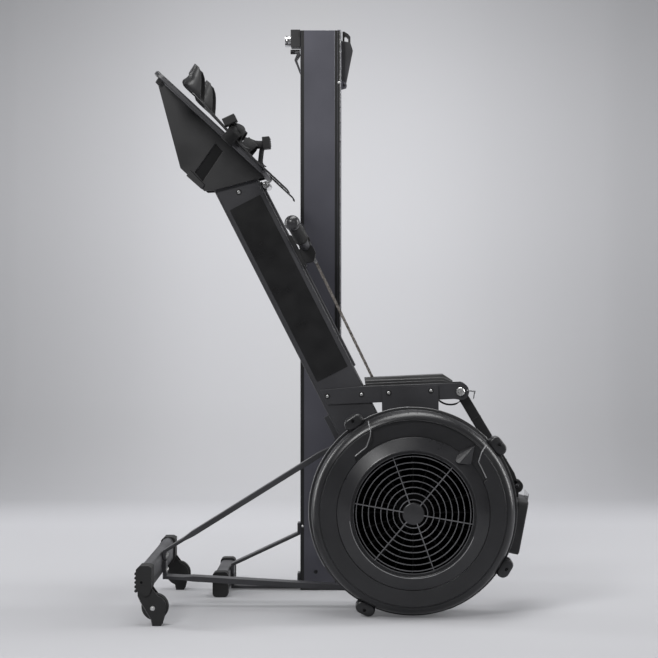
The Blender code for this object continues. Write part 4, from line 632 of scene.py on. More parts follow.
def make_front_cover():
    """The damper-side half: a lip, a wide rounded band with a fine crease, and the face round the window."""
    profile = [(LIP_RADIUS, SEAM_Y - 0.0003), (LIP_RADIUS, SEAM_Y - 0.0048),
        (LIP_RADIUS - 0.0010, SEAM_Y - 0.0060), (SHELL_RADIUS + 0.0012, SEAM_Y - 0.0066),
        (SHELL_RADIUS, SEAM_Y - 0.0085)]
    corner = (SHELL_RADIUS - BAND_RADIUS, COVER_FACE + BAND_RADIUS)
    profile += ring_arc(corner, BAND_RADIUS, 0, -66, 12)
    profile += [(0.2118, -0.1953), (0.2112, -0.1946), (0.2102, -0.1948), (0.2094, -0.1960), (0.2085, -0.1958),
        (0.2085, WEB_FRONT), (NECK_OUTER, WEB_FRONT), (NECK_OUTER, COVER_FACE - 0.012),
        (NECK_INNER, COVER_FACE - 0.012), (NECK_INNER, WEB_BACK), (SHELL_RADIUS - 0.009, WEB_BACK),
        (SHELL_RADIUS - 0.003, WEB_BACK + 0.008), (SHELL_RADIUS - 0.003, SEAM_Y - 0.0003)]
    new_piece("fan_cover_shell", turned(profile, 144), HOUSING, "machine", "fan_cover", smooth=30)
    new_piece("cover_face", plate(face_outline(), COVER_FACE, COVER_FACE + 0.0074), HOUSING, "machine",
        smooth=30, rounded=(0.0011, 3, 20))
    for k, angle in enumerate(LUG_ANGLES, 1):
        make_lug(k, angle)
    # Light rods that paint the highlights along the damper window's raised edges.
    left = [polar(0.1832, 135.5, COVER_FACE), polar(0.1822, 130, COVER_FACE),
        polar(0.1822, 125.4, COVER_FACE), polar(0.1836, 124.6, COVER_FACE), polar(0.1990, 119, COVER_FACE)]
    left += [band_spot(radius, 117.5 - (radius - 0.207) * 60)
        for radius in (0.207, 0.212, 0.217, 0.222, 0.226, 0.2286)]
    right = [polar(0.1816, 26, COVER_FACE), polar(0.1842, 35, COVER_FACE), polar(0.1860, 38.5, COVER_FACE),
        polar(0.2005, 41.3, COVER_FACE)]
    right += [band_spot(radius, 42.2 + (radius - 0.207) * 60) for radius in (0.207, 0.212, 0.217, 0.2215)]
    for label, line in (("left", left), ("right", right)):
        highlight_rod(f"window_edge_{label}", line, 0.0014, PAINTED_HIGHLIGHT, 10)
    # Rods that paint the lip's highlight: the brighter finish on the left, the dimmer one on the right.
    for label, start, end, finish in (("left", 92, 212, PAINTED_HIGHLIGHT), ("right", -70, 40, RIM_HIGHLIGHT)):
        arc = [polar(LIP_RADIUS - 0.0004, start + (end - start) * k / 72, SEAM_Y - 0.0050) for k in range(73)]
        highlight_rod(f"cover_lip_{label}", arc, 0.0010, finish)
    mark_at = polar(0.2045, 17.3, COVER_FACE)
    mark = wire([mark_at + heading(18 * i) * 0.0036 for i in range(20)], 0.0005, 6, closed=True)
    new_piece("cover_mould_mark", mark, HOUSING, "machine")
    ticks = bmesh.new()
    for k in range(14):
        angle = 46 + 5.2 * k
        line = [band_spot(radius, angle, 0.0001) for radius in (0.2235, 0.2252, 0.2270, 0.2282)]
        merge(ticks, wire(line, 0.0005, 6))
    new_piece("damper_scale", ticks, HOUSING, "machine")


def make_lug(number, angle):
    """A screw boss on the rim: a rounded capsule with a deep screw hole, in two halves."""
    shape = placed(stadium(0.046, 0.0150, 12), angle - 90, spot_on_rim(0.242, angle))
    inner = polar(SHELL_RADIUS - 0.0015, angle, 0)
    out = heading(angle)
    hole_at = polar(0.246, angle, 0)
    front, rear = SEAM_Y - 0.030, SEAM_Y + 0.015
    for label, low, high, rim in (("front", front, SEAM_Y - 0.0003, front), ("rear", SEAM_Y + 0.0003, rear, rear)):
        boss = plate(shape, low, high)
        bevel_edges(boss, rim_at(boss, 1, ORIGIN.y + rim), 0.006, 4)
        everything = boss.verts[:] + boss.edges[:] + boss.faces[:]
        bmesh.ops.bisect_plane(boss, geom=everything, plane_co=inner, plane_no=-out, clear_outer=True)
        bmesh.ops.holes_fill(boss, edges=[e for e in boss.edges if e.is_boundary])
        bore = cylinder(hole_at + Vector((0, low - 0.01, 0)), hole_at + Vector((0, high + 0.01, 0)), 0.0036,
            20)
        new_piece(f"lug_{number}_{label}", carved(boss, bore), HOUSING, "machine", smooth=32,
            rounded=(0.0005, 2, 55))
    screw(f"lug_screw_{number}", hole_at + Vector((0, SEAM_Y - 0.020, 0)), (0, -1, 0), 0.0034, BLACK_OXIDE,
        washer=False)


def make_rear_cover():
    """The chain-side half: a dish with air slots, and the collar round the axle."""
    back = REAR_FACE
    corner = (SHELL_RADIUS - 0.018, back - 0.018)
    profile = [(LIP_RADIUS, SEAM_Y + 0.0003), (SHELL_RADIUS - 0.003, SEAM_Y + 0.0003)]
    profile += ring_arc(corner, 0.015, 0, 90, 6)
    profile += [(0.033, back - 0.003), (0.033, -0.0439), (0.044, -0.0439), (0.044, back), (0.104, back),
        (0.106, back - 0.0012), (0.112, back - 0.0012), (0.114, back)]
    profile += ring_arc(corner, 0.018, 90, 0, 10)
    profile += [(SHELL_RADIUS, SEAM_Y + 0.0085), (SHELL_RADIUS + 0.0012, SEAM_Y + 0.0066),
        (LIP_RADIUS - 0.0010, SEAM_Y + 0.0060), (LIP_RADIUS, SEAM_Y + 0.0048)]
    slots = []
    for k in range(SLOT_COUNT):
        angle = 360 / SLOT_COUNT * (k + 0.5)
        slot = placed(stadium(0.050, 0.006, 5), angle, spot_on_rim(0.155, angle))
        slots.append(plate(slot, back - 0.01, back + 0.01))
    shell = carved(turned(profile, 96), *slots)
    new_piece("rear_cover_shell", shell, HOUSING, "machine", "rear_cover", smooth=30, rounded=(0.0008, 2, 50))


def make_grille():
    """Narrow concentric ribs and six spokes round a plain disc."""
    front, back = COVER_FACE - 0.006, COVER_FACE - 0.001
    ribs = bmesh.new()
    half = RIB_HALF
    for k in range(RIB_COUNT):
        radius = 0.0318 + 0.0138 * k if k < RIB_COUNT - 1 else 0.1348
        section = [(radius - half, back), (radius + half, back), (radius + half * 0.8, front + 0.0012),
            (radius + half * 0.45, front + 0.0004), (radius - half * 0.45, front + 0.0004),
            (radius - half * 0.8, front + 0.0012)]
        merge(ribs, turned(section, 96))
    new_piece("grille_ribs", ribs, WIRE, "machine", "intake_grille", smooth=50)
    spokes = bmesh.new()
    for k in range(SPOKE_COUNT):
        angle = 50 + 360 / SPOKE_COUNT * k
        outline = placed([(0.022, -0.0012), (0.1362, -0.0010), (0.1362, 0.0010), (0.022, 0.0012)], angle,
            (0, AXLE_Z))
        merge(spokes, plate(outline, front - 0.0006, back + 0.004))
    new_piece("grille_spokes", spokes, WIRE, "machine", smooth=40, rounded=(0.0004, 2))
    hub = turned([(AXIS, front - 0.0012), (0.0215, front - 0.0010), (0.0240, front - 0.0002),
        (0.0250, front + 0.0012), (0.0250, back), (0.0235, back + 0.001), (AXIS, back + 0.001)], 64)
    new_piece("grille_hub", hub, RING, "machine", smooth=50)


def make_damper():
    """The turning ring: a flange in the window, a cone with a rolled nose, and a pointed lever."""
    flange = COVER_FACE + 0.008
    nose = COVER_FACE - 0.015
    bore = NECK_OUTER + 0.0008
    profile = [(RING_OUTER, flange), (RING_OUTER, COVER_FACE - 0.0006),
        (RING_OUTER - 0.0010, COVER_FACE - 0.0014), (0.1446, nose + 0.0012), (0.1434, nose + 0.0003),
        (0.1420, nose), (bore + 0.0010, nose), (bore, nose + 0.0010), (bore, flange + 0.0025),
        (bore + 0.003, flange + 0.0025), (bore + 0.003, nose + 0.004),
        (RING_OUTER - 0.004, COVER_FACE + 0.003), (RING_OUTER - 0.004, flange + 0.0025),
        (RING_OUTER, flange + 0.0025)]
    disc = [(RING_OUTER - 0.001, flange), (RING_OUTER - 0.001, flange + 0.0025), (0.207, flange + 0.0025),
        (0.207, flange)]
    new_piece("damper_flange", turned(disc, 144), HOUSING, "damper", smooth=30)
    new_piece("damper_ring_shell", turned(profile, 144), RING, "damper", "damper_ring", smooth=28,
        rounded=(0.0005, 2, 50))
    # A light rod round the lower half of the nose that paints its reflection.
    bead = [polar(0.1432, 186 + 3.2 * k, nose - 0.0001) for k in range(49)]
    highlight_rod("damper_bead", bead, 0.0009, PAINTED_HIGHLIGHT, 10, "damper")
    lever = bmesh.new()
    deep = flange + 0.001
    edge = RING_OUTER
    for radius, side, y in ((edge - 0.013, 6, -0.2015), (edge + 0.0015, -7, COVER_FACE),
            (edge - 0.021, 3.5, -0.209), (edge - 0.008, -5.5, -0.203), (edge - 0.019, 0, -0.2123),
            (0.203, 0, -0.203), (0.207, 0, deep), (edge - 0.005, 6.5, deep), (edge + 0.002, -7.5, deep),
            (edge - 0.013, 0, COVER_FACE)):
        lever.verts.new(polar(radius, DAMPER_ANGLE + side, y))
    hull = bmesh.ops.convex_hull(lever, input=lever.verts)
    inner = [v for v in hull["geom_interior"] if isinstance(v, bmesh.types.BMVert)]
    bmesh.ops.delete(lever, geom=inner, context="VERTS")
    bmesh.ops.dissolve_limit(lever, angle_limit=math.radians(3), verts=lever.verts, edges=lever.edges)
    new_piece("damper_lever", lever, RING, "damper", smooth=20, rounded=(0.0009, 3, 15))


# Frame


def make_panels():
    """The bare glossy panel on each side of the main tube."""
    for label, side in SIDES:
        face = side * TUBE_HALF
        outline = rounded_box(0.196, 0.643, -0.040, 0.040, 0.002)
        points = [tube_point(up, right, face) for up, right in outline]
        new_piece(f"tube_panel_{label}", solid_from(points, (0, side * 0.0004, 0)), PANEL, "machine")


def make_tube_edges():
    """Light rods along the main tube's corners that paint the powder coat's shine."""
    for name, right in (("upper", TUBE_DEPTH / 2 - 0.0008), ("lower", 0.0008 - TUBE_DEPTH / 2)):
        for label, side in SIDES:
            line = [tube_point(0.03 + 0.135 * k, right, side * (TUBE_HALF - 0.0008)) for k in range(6)]
            highlight_rod(f"tube_{name}_edge_{label}", line, 0.0007, RIM_HIGHLIGHT)


def make_tray_ribs():
    """Fine cross ribs along the chain tray on the tube's upper face."""
    ribs = bmesh.new()
    right = TUBE_DEPTH / 2 + 0.0022
    first, pitch, count = 0.196, 0.004, 118
    for k in range(count):
        up = first + pitch * k
        if 0.440 < up < 0.536:  # the handle's hook sits here
            continue
        corners = [tube_point(up + a, right + b, -0.0150)
            for a, b in ((0, 0), (0.0016, 0), (0.0016, 0.0012), (0, 0.0012))]
        merge(ribs, solid_from(corners, (0, 0.030, 0)))
    new_piece("tray_ribs", ribs, POWDER, "machine")


# Name, place in the machine's plane, distance of the face from the middle plane, radius
BOLTS = (("side_bolt_1", (-0.1955, 0.4910), 0.0393, 0.0038),
    ("side_bolt_2", (-0.1163, 0.4954), 0.0393, 0.0038),
    ("plate_bolt_1", (-0.0533, 0.4989), 0.0436, 0.0040),
    ("plate_bolt_2", (0.0441, 0.5040), 0.0436, 0.0038),
    ("tube_bolt", (-0.4007, 0.9644), 0.0350, 0.0042))


def make_bolts():
    """Bright button-head bolts on both sides of the frame."""
    for name, (x, z), face, radius in BOLTS:
        for label, side in SIDES:
            spot = at(x, side * face, z)
            disc_piece(f"{name}_seat_{label}", spot, (0, side, 0),
                [(radius * 1.7, 0), (radius * 1.65, 0.0004), (radius * 1.2, 0.0005), (radius * 1.1, 0.0001),
                (AXIS, 0.0001)], DEEP_BLACK)
            screw(f"{name}_{label}", spot, (0, side, 0), radius, ZINC, washer=False)
    for label, side in SIDES:
        spot = at(ARM_PIVOT[0], side * 0.0433, ARM_PIVOT[1])
        disc_piece(f"pivot_cap_{label}", spot, (0, side, 0), [(0.0100, 0), (0.0100, 0.0016), (0.0088, 0.0030),
            (0.0066, 0.0032), (0.0058, 0.0018), (0.0042, 0.0018), (0.0036, 0.0030), (AXIS, 0.0032)], ZINC)


# Front foot


CASTER_AT = (-0.5695, 0.0405)


def make_casters():
    """Each caster: a hub with a recessed web, a rounded tyre and a bright axle end."""
    for label, side in SIDES:
        low, high = span(side, 0.2615, 0.2815)
        centre = CASTER_AT
        half = (high - low) / 2
        mid = (high + low) / 2
        tyre = [(0.0235, mid - half), (0.0280, mid - half), (0.0293, mid - half * 0.80),
            (0.0300, mid - half * 0.45), (0.0300, mid + half * 0.45), (0.0293, mid + half * 0.80),
            (0.0280, mid + half), (0.0235, mid + half)]
        new_piece(f"caster_tyre_{label}", turned(tyre, 64, centre), TYRE, f"caster_{label}",
            f"caster_{label}")
        hub = [(0.0045, mid - half), (0.0085, mid - half), (0.0090, mid - half * 0.6),
            (0.0205, mid - half * 0.5), (0.0215, mid - half * 0.95), (0.0236, mid - half),
            (0.0236, mid + half), (0.0215, mid + half * 0.95), (0.0205, mid + half * 0.5),
            (0.0090, mid + half * 0.6), (0.0085, mid + half), (0.0045, mid + half)]
        new_piece(f"caster_hub_{label}", turned(hub, 64, centre), PLASTIC, f"caster_{label}")
        screw(f"caster_axle_{label}", at(-0.5735, side * 0.2890, 0.0385), (0, side, 0), 0.0036, ZINC)
        # A light rod that paints the highlight along the caster cheek's edge.
        line = [at(x, side * 0.2889, z)
            for x, z in ((-0.6045, 0.0650), (-0.5986, 0.0505), (-0.5764, 0.0138), (-0.5738, 0.0014))]
        highlight_rod(f"cheek_line_{label}", line, 0.0008, RIM_HIGHLIGHT)
        near, far = span(side, 0.2450, 0.2912)
        levels = [0.0765 + 0.0094 * k for k in range(5)]
        ribs = merge(*[cylinder(at(-0.6100, near, z), at(-0.6100, far, z), 0.0034, 16) for z in levels])
        new_piece(f"cap_ribs_{label}", ribs, RUBBER, "machine", rounded=(0.0010, 2))
        # A near-black disc that paints the shade in the cap's dimple.
        disc_piece(f"cap_dimple_shade_{label}", at(-0.5978, side * 0.2920, 0.0957), (0, side, 0),
            [(0.0030, 0), (0.0028, 0.0003), (0.0018, 0.0003), (0.0016, 0.0001), (AXIS, 0.0001)], PAINTED_SHADE)


def make_foot_bolts():
    """Four bolts through the two leg brackets on the foot's back face."""
    for k, (y, z) in enumerate(((-0.013, 0.1180), (0.013, 0.1180), (-0.013, 0.0840), (0.013, 0.0840)), 1):
        face = -0.5717 if z > 0.1 else -0.5715
        screw(f"foot_bolt_{k}", at(face, y, z), (1, 0, 0), 0.0042, ZINC)


# Footrest


def along_line(points, steps=6):
    """A smooth line through points of any dimension, with some steps between each pair."""
    places = [Vector(p) for p in points]
    line = []
    for i in range(len(places) - 1):
        before = places[max(i - 1, 0)]
        after = places[min(i + 2, len(places) - 1)]
        start, end = places[i], places[i + 1]
        for k in range(steps):
            t = k / steps
            line.append(0.5 * (2 * start + (end - before) * t
                + (2 * before - 5 * start + 4 * end - after) * t ** 2
                + (3 * start - before - 3 * end + after) * t ** 3))
    return line + [places[-1]]


def ribbon(name, path, across, thickness, finish, body, *stands_for):
    """A band: a line of edges extruded across, then given its thickness."""
    half = across / 2
    sheet = swept([point - half for point in path], 2 * half)
    thicken(new_piece(name, sheet, finish, body, *stands_for, smooth=60), thickness)


def outer_y(side, inset):
    """A distance from the middle plane, counted inwards from a shoe's outer side."""
    return side * (SHOE_Y + 0.0575 - inset)


def strap_run(side, run, crown):
    """The band's line over a shoe: foot, low arch, and wrap under the board's edge."""
    base = 0.0114
    line = [(0.128, base), (0.116, base), (0.113, base + 0.010), (0.102, base + crown * 0.62),
        (0.080, base + crown * 0.93), (0.0575, base + crown), (0.035, base + crown * 0.93),
        (0.012, base + crown * 0.70), (0.002, base + crown * 0.45), (0.0, base + 0.010), (0.0, 0.004),
        (0.001, -0.0008), (0.006, -0.0015), (0.030, -0.0015)]
    return [board_point(run, rise, outer_y(side, inset)) for inset, rise in along_line(line, 5)]


def run_loop(side, inset, line):
    """A line of (run, rise) points at one distance from a shoe's outer side."""
    return [board_point(run, rise, outer_y(side, inset)) for run, rise in along_line(line, 6)]


STRAP_SHAPES = {
    "right": {
        "side": -1, "run": 0.1035, "crown": 0.034,
        "buckle": (0.1310, 0.0385, 25), "buckle_inset": 0.016, "lean": (0.30, 0.72, 0.62),
        "loop": ((0.1230, 0.0300), (0.1100, 0.0380), (0.0980, 0.0410), (0.0890, 0.0370), (0.0860, 0.0290),
            (0.0900, 0.0200)),
        "tail": ((0.0880, 0.0220), (0.0800, 0.0170), (0.0700, 0.0160), (0.0600, 0.0190))},
    "left": {
        "side": 1, "run": 0.0950, "crown": 0.036,
        "buckle": (0.0730, 0.0670, 96), "buckle_inset": 0.030, "lean": (0.12, 0.62, 0.78),
        "loop": ((0.1180, 0.0330), (0.1050, 0.0400), (0.0920, 0.0450), (0.0820, 0.0530), (0.0760, 0.0600)),
        "tail": ((0.0740, 0.0540), (0.0680, 0.0440), (0.0600, 0.0330), (0.0530, 0.0240), (0.0460, 0.0205),
            (0.0380, 0.0215))}}


def make_straps():
    """Each strap: a woven band over the shoe, its loose loop with a cam buckle, and the free end."""
    for label, shape in STRAP_SHAPES.items():
        side = shape["side"]
        ribbon(f"strap_band_{label}", strap_run(side, shape["run"], shape["crown"]), ALONG_BOARD * 0.030,
            0.0021, WEBBING, "machine", f"strap_{label}")
        inset = shape["buckle_inset"]
        lean = Vector(shape["lean"]).normalized()
        ribbon(f"strap_loop_{label}", run_loop(side, inset, shape["loop"]), lean * 0.025, 0.0021, WEBBING,
            "machine")
        hang = Vector((0.36, 0.93, 0.05))
        ribbon(f"strap_tail_{label}", run_loop(side, inset, shape["tail"]), hang * 0.025, 0.0019, WEBBING,
            "machine")
        run, rise, turn = shape["buckle"]
        make_buckle(label, board_point(run, rise, outer_y(side, inset)), turn)
        wear = board_point(shape["run"] - 0.017, 0.0114, outer_y(side, 0.122))
        far, deep = ALONG_BOARD * 0.034, Vector((0, 0.010, 0))
        stitch = solid_from([wear, wear + far, wear + far + deep, wear + deep], OFF_BOARD * 0.0022)
        new_piece(f"strap_plate_{label}", stitch, PLASTIC, "machine", rounded=(0.0006, 2))


def make_buckle(label, centre, turn):
    """A cam buckle: a slotted frame round two cross bars, with a ridged lid."""
    length, depth = heading(turn), heading(turn - 90)
    wide = Vector((0, 1, 0))

    def bar(l0, l1, d0, d1, w0, w1):
        corner = centre + length * l0 + depth * d0 + wide * w0
        outline = [corner, corner + length * (l1 - l0), corner + length * (l1 - l0) + depth * (d1 - d0),
            corner + depth * (d1 - d0)]
        return solid_from(outline, wide * (w1 - w0))

    sides = merge(bar(-0.0150, 0.0150, -0.0092, 0.0092, -0.0175, -0.0135),
        bar(-0.0150, 0.0150, -0.0092, 0.0092, 0.0135, 0.0175))
    new_piece(f"buckle_sides_{label}", sides, DEEP_BLACK, "machine", rounded=(0.0018, 3))
    bars = merge(bar(-0.0142, -0.0104, -0.0070, 0.0060, -0.0140, 0.0140),
        bar(-0.0030, 0.0005, -0.0070, 0.0010, -0.0140, 0.0140),
        bar(0.0104, 0.0142, -0.0070, 0.0060, -0.0140, 0.0140))
    new_piece(f"buckle_bars_{label}", bars, DEEP_BLACK, "machine", rounded=(0.0009, 2))
    lid = bar(-0.0105, 0.0130, 0.0040, 0.0096, -0.0128, 0.0128)
    for k in range(4):
        merge(lid, bar(-0.0090 + 0.0054 * k, -0.0064 + 0.0054 * k, 0.0094, 0.0110, -0.0115, 0.0115))
    new_piece(f"buckle_lid_{label}", lid, DEEP_BLACK, "machine", rounded=(0.0007, 2))


# Rise over the board, toe end, heel end and half width of each level
CUP_LEVELS = ((0.0262, 0.2080, 0.2620, 0.0490), (0.0300, 0.2110, 0.2690, 0.0520),
    (0.0345, 0.2150, 0.2708, 0.0535), (0.0400, 0.2195, 0.2692, 0.0538), (0.0453, 0.2235, 0.2682, 0.0540),
    (0.0515, 0.2290, 0.2684, 0.0540), (0.0545, 0.2315, 0.2718, 0.0540), (0.0640, 0.2400, 0.2736, 0.0536),
    (0.0720, 0.2490, 0.2750, 0.0525), (0.0790, 0.2610, 0.2760, 0.0505))


def cup_row(end, back, half):
    """One level of the heel cup: along one side, round the heel and back along the other."""
    round_in = min(0.024, (back - end) * 0.8)
    row = [(end, -half), (end + (back - round_in - end) * 0.5, -half)]
    row += [(back - round_in + round_in * s, -half + (half * 0.62) * (1 - c))
        for c, s in [direction(15 * i) for i in range(7)]]
    return row + [(run, -y) for run, y in reversed(row)]


def make_shoes():
    """Each sliding heel shell: a thin sole with turned-down toe, ribs, and holes painted as near-black discs of
    shade, and a leaning heel cup.
    """
    stations = ((-0.0735, 0.0085), (-0.0700, 0.0115), (-0.0660, 0.0125), (0.0300, 0.0125), (0.0657, 0.0145),
        (0.1240, 0.0190), (0.1791, 0.0243), (0.2250, 0.0272), (0.2550, 0.0292), (0.2640, 0.0298))
    for label, side in SIDES:
        body = f"flexfoot_{label}"
        sole = bmesh.new()
        rows = []
        for i, (run, rise) in enumerate(stations):
            half = 0.054 * (0.60, 0.68, 0.76, 1, 1, 1, 1, 1, 0.85, 0.66)[i]
            rows.append([sole.verts.new(board_point(run, rise, side * SHOE_Y + half * t))
                for t in (-1, -0.75, -0.4, 0, 0.4, 0.75, 1)])
        join_rows(sole, rows)
        give_wall(new_piece(f"shoe_sole_{label}", sole, PLASTIC, body, f"flexfoot_{label}", smooth=40),
            0.0030)
        cup = bmesh.new()
        rows = []
        for rise, end, back, half in CUP_LEVELS:
            row = cup_row(end, back, half)
            rows.append([cup.verts.new(board_point(run, rise, side * SHOE_Y + y)) for run, y in row])
        join_rows(cup, rows)
        give_wall(new_piece(f"heel_cup_{label}", cup, PLASTIC, body, smooth=50), 0.0028)
        ribs = bmesh.new()
        for k in range(17):
            run = 0.072 + 0.0065 * k
            rise = 0.0145 + (run - 0.0657) * 0.0864 + 0.0013
            points = [board_point(run + a, rise + b, side * SHOE_Y - 0.040)
                for a, b in ((0, 0), (0.0024, 0.0002), (0.0018, 0.0013), (0.0006, 0.0012))]
            merge(ribs, solid_from(points, (0, 0.080, 0)))
        new_piece(f"sole_tread_{label}", ribs, PLASTIC, body)
        # Near-black discs that paint the shade in the sole's holes.
        for k in range(4):
            for j, y in enumerate((-0.020, 0.020), 1):
                spot = board_point(-0.030 + 0.018 * k, 0.0141, side * SHOE_Y + y)
                disc_piece(f"sole_hole_{label}_{k}_{j}", spot, OFF_BOARD,
                    [(0.0050, 0), (0.0048, 0.0005), (0.0034, 0.0005), (0.0032, 0.0001), (AXIS, 0.0001)],
                    PAINTED_SHADE, body, 24)


def join_rows(bm, rows):
    """Bridges rows of vertices, each a line of edges, into one sheet."""
    for row in rows:
        for pair in zip(row, row[1:]):
            bm.edges.new(pair)
    for near, far in zip(rows, rows[1:]):
        edges = [bm.edges.get(pair) for row in (near, far) for pair in zip(row, row[1:])]
        bmesh.ops.bridge_loops(bm, edges=edges)


def give_wall(piece, thickness):
    thicken(piece, thickness)
    round_edges(piece, thickness * 0.3, 2, 50)


def make_board():
    """The footboard with round corners and a rolled edge whose highlight a light rod paints, its screws, stops and
    the toe's roller.
    """
    half, long = 0.205, 0.329
    plan = rounded_box(0, long, -half, half, 0.024, 6)
    board = solid_from([board_point(run, 0.0, y) for run, y in plan], OFF_BOARD * 0.0100)
    new_piece("footboard_plate", board, POWDER, "machine", "footboard", rounded=(0.0026, 3))
    # A light rod that paints the highlight of the board's rolled edge.
    edge = [board_point(run, 0.0103, y * 0.988) for run, y in rounded_box(0.0035, long - 0.003, -half, half,
        0.024, 6)]
    highlight_rod("board_rim_highlight", edge, 0.0015, RIM_HIGHLIGHT, closed=True)
    for k, run in enumerate((0.030, 0.160, 0.290), 1):
        for label, y in (("right", -0.0403), ("left", 0.0403)):
            screw(f"board_screw_{k}_{label}", board_point(run, 0.0100, y), OFF_BOARD, 0.0045, BLACK_OXIDE)
    for label, side in SIDES:
        low, high = span(side, 0.150, 0.200)
        corner = board_point(0.300, -0.0002, low)
        under = OFF_BOARD * 0.012
        outline = [corner, corner + ALONG_BOARD * 0.014, corner + ALONG_BOARD * 0.012 - under,
            corner + ALONG_BOARD * 0.001 - under]
        stop = solid_from(outline, (0, high - low, 0))
        new_piece(f"board_stop_{label}", stop, RUBBER, "machine", rounded=(0.0015, 2))
    for label, side in SIDES:
        recess = [(-0.0371, 0.0769), (-0.0207, 0.0580), (-0.0671, -0.0110), (-0.0847, 0.0103)]
        outline = [(TUBE_TOP[0] + x, TUBE_TOP[1] + z) for x, z in recess]
        low, high = span(side, 0.0412, 0.0417)
        new_piece(f"panel_recess_{label}", plate(outline, low, high), RECESS, "machine")
        # Light rods that paint highlights along the recess's edges and along the clip.
        edge = [at(x, side * 0.0417, z) for x, z in (outline[1], outline[0], outline[3])]
        clip = [at(-0.5190, side * 0.0424, 1.0126), at(-0.4801, side * 0.0424, 0.9816)]
        highlight_rod(f"recess_edge_{label}", edge, 0.0007, RIM_HIGHLIGHT)
        highlight_rod(f"clip_edge_{label}", clip, 0.0008, RIM_HIGHLIGHT)
    toe = at(-0.3365, 0, 0.9800)
    roller = merge(cross_pin(toe, 0.056, 0.0085, 28), cross_pin(toe, 0.062, 0.0045, 20))
    new_piece("toe_roller", roller, CHROME, "machine", rounded=(0.0008, 2))


# Handle and chain


BAR_RADIUS = 0.011
HANDLE_UP = 0.4911
HANDLE_OUT = 0.0783
HALF_BAR = 0.198
GRIP_FROM = 0.092
GRIP_TO = 0.1925
GROOVE_PITCH = 0.0040
CHAIN_PITCH = 0.00953
CHAIN_WHEEL = 0.0486
CHAIN_END = tube_point(HANDLE_UP - 0.0464, HANDLE_OUT + 0.0051, 0)


def bar_point(y):
    """A point of the handle bar's middle line at a distance from the machine's middle plane."""
    rise = 0.056 - 0.36 * (0.205 - abs(y))
    if abs(y) < 0.075:
        share = max(0.0, (abs(y) - 0.034) / 0.041)
        rise = 0.0092 * share ** 1.6
    return tube_point(HANDLE_UP + rise, HANDLE_OUT, y)


def make_handle():
    """The bent bar, and two ribbed rubber grips that end in balls."""
    spots = [bar_point(HALF_BAR * (i / 33 - 1)) for i in range(67)]
    new_piece("handle_bar_tube", wire(spots, BAR_RADIUS, 24), POWDER, "handle", "handle_bar", smooth=50)
    for label, side in SIDES:
        start, ball_at = bar_point(side * GRIP_FROM), bar_point(side * GRIP_TO)
        out = (ball_at - start).normalized()
        reach = (ball_at - start).length
        profile = [(0.0113, 0.0), (0.0152, 0.0), (0.0158, 0.0012), (0.0158, 0.0045), (0.0148, 0.0058)]
        h = 0.0070
        while h < reach - 0.016:
            profile += [(0.0140, h), (0.0145, h + 0.0009), (0.0145, h + 0.0022), (0.0140, h + 0.0031)]
            h += GROOVE_PITCH
        profile += [(0.0112, reach - 0.0128)]
        new_piece(f"grip_rubber_{label}", spun(start, out, profile), GRIP, "handle", f"grip_{label}",
            smooth=45)
        ball = [(max(AXIS, r), reach + h) for r, h in ring_arc((0, 0), 0.0175, -90, 90, 18)]
        new_piece(f"grip_ball_{label}", spun(start, out, ball), GLOSS, "handle", smooth=60)


def chain_route():
    """Pin places of the chain, from the handle's link round the chain wheel and up into the tube."""
    pitch, radius, end = CHAIN_PITCH, CHAIN_WHEEL, CHAIN_END
    axle = at(0, 0, AXLE_Z)
    away = end - axle
    start = math.degrees(math.atan2(away.z, away.x)) - math.degrees(math.acos(radius / away.length))
    finish = TUBE_SLANT + 90 - 360
    touch = axle + heading(start) * radius
    count = round((touch - end).length / pitch)
    route = [end.lerp(touch, i / count) for i in range(count + 1)]
    steps = round(math.radians(start - finish) * radius / pitch)
    for i in range(1, steps + 1):
        route.append(axle + heading(start + (finish - start) * i / steps) * radius)
    last = route[-1]
    route += [last + heading(TUBE_SLANT) * pitch * i for i in range(1, 9)]
    return route, touch


def link_plate(start, end, y, thickness, half):
    """One side plate of a chain link: two round ends and a narrowed waist."""
    run = end - start
    length = run.length
    outline = ring_arc((length, 0), half, -60, 60, 4) + ring_arc((0, 0), half, 120, 240, 4)
    c, s = run.x / length, run.z / length
    points = [Vector((start.x + c * a - s * b, start.y + y, start.z + s * a + c * b)) for a, b in outline]
    return solid_from(points, (0, thickness, 0))


def make_chain():
    """A roller chain: pairs of inner and outer plates in turn, with a roller on every pin."""
    route, touch = chain_route()
    links = bmesh.new()
    for i, (start, end) in enumerate(zip(route, route[1:])):
        inner = i % 2
        reach = 0.0019 if inner else 0.0029
        for y in (-reach - 0.0008, reach):
            merge(links, link_plate(start, end, y, 0.0008, 0.0037 if inner else 0.0034))
    for spot in route:
        merge(links, cross_pin(spot, 0.0019, 0.0025, 8), cross_pin(spot, 0.0041, 0.0013, 6))
    chain = new_piece("roller_chain", links, CHAIN, None, "drive_chain", smooth=40)
    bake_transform(chain)


def make_swivel():
    """The flat link between the handle and its chain, its bright pin, and two collars on the bar."""
    soften("chain_swivel", STEEL, 0.0008, 2, 40)
    new_piece("swivel_pin", cross_pin(CHAIN_END, 0.0062, 0.0022, 16), ZINC, "handle")
    clamp = bmesh.new()
    for y in (-0.0125, 0.0085):
        middle_point = bar_point(0) + Vector((0, y, 0))
        merge(clamp, spun(middle_point, (0, 1, 0), [(0.0114, 0), (0.0140, 0), (0.0145, 0.0006),
            (0.0145, 0.0034), (0.0140, 0.0040), (0.0114, 0.0040)], 32))
    new_piece("bar_collars", clamp, PLASTIC, "handle")


# Monitor and its leads


def monitor_point(down, out, y=0.0):
    """A point measured down the monitor from its knuckle, and out from its back."""
    c, s = direction(MONITOR_ANGLE)
    return at(KNUCKLE[0] + c * down - s * out, y, KNUCKLE[1] + s * down + c * out)


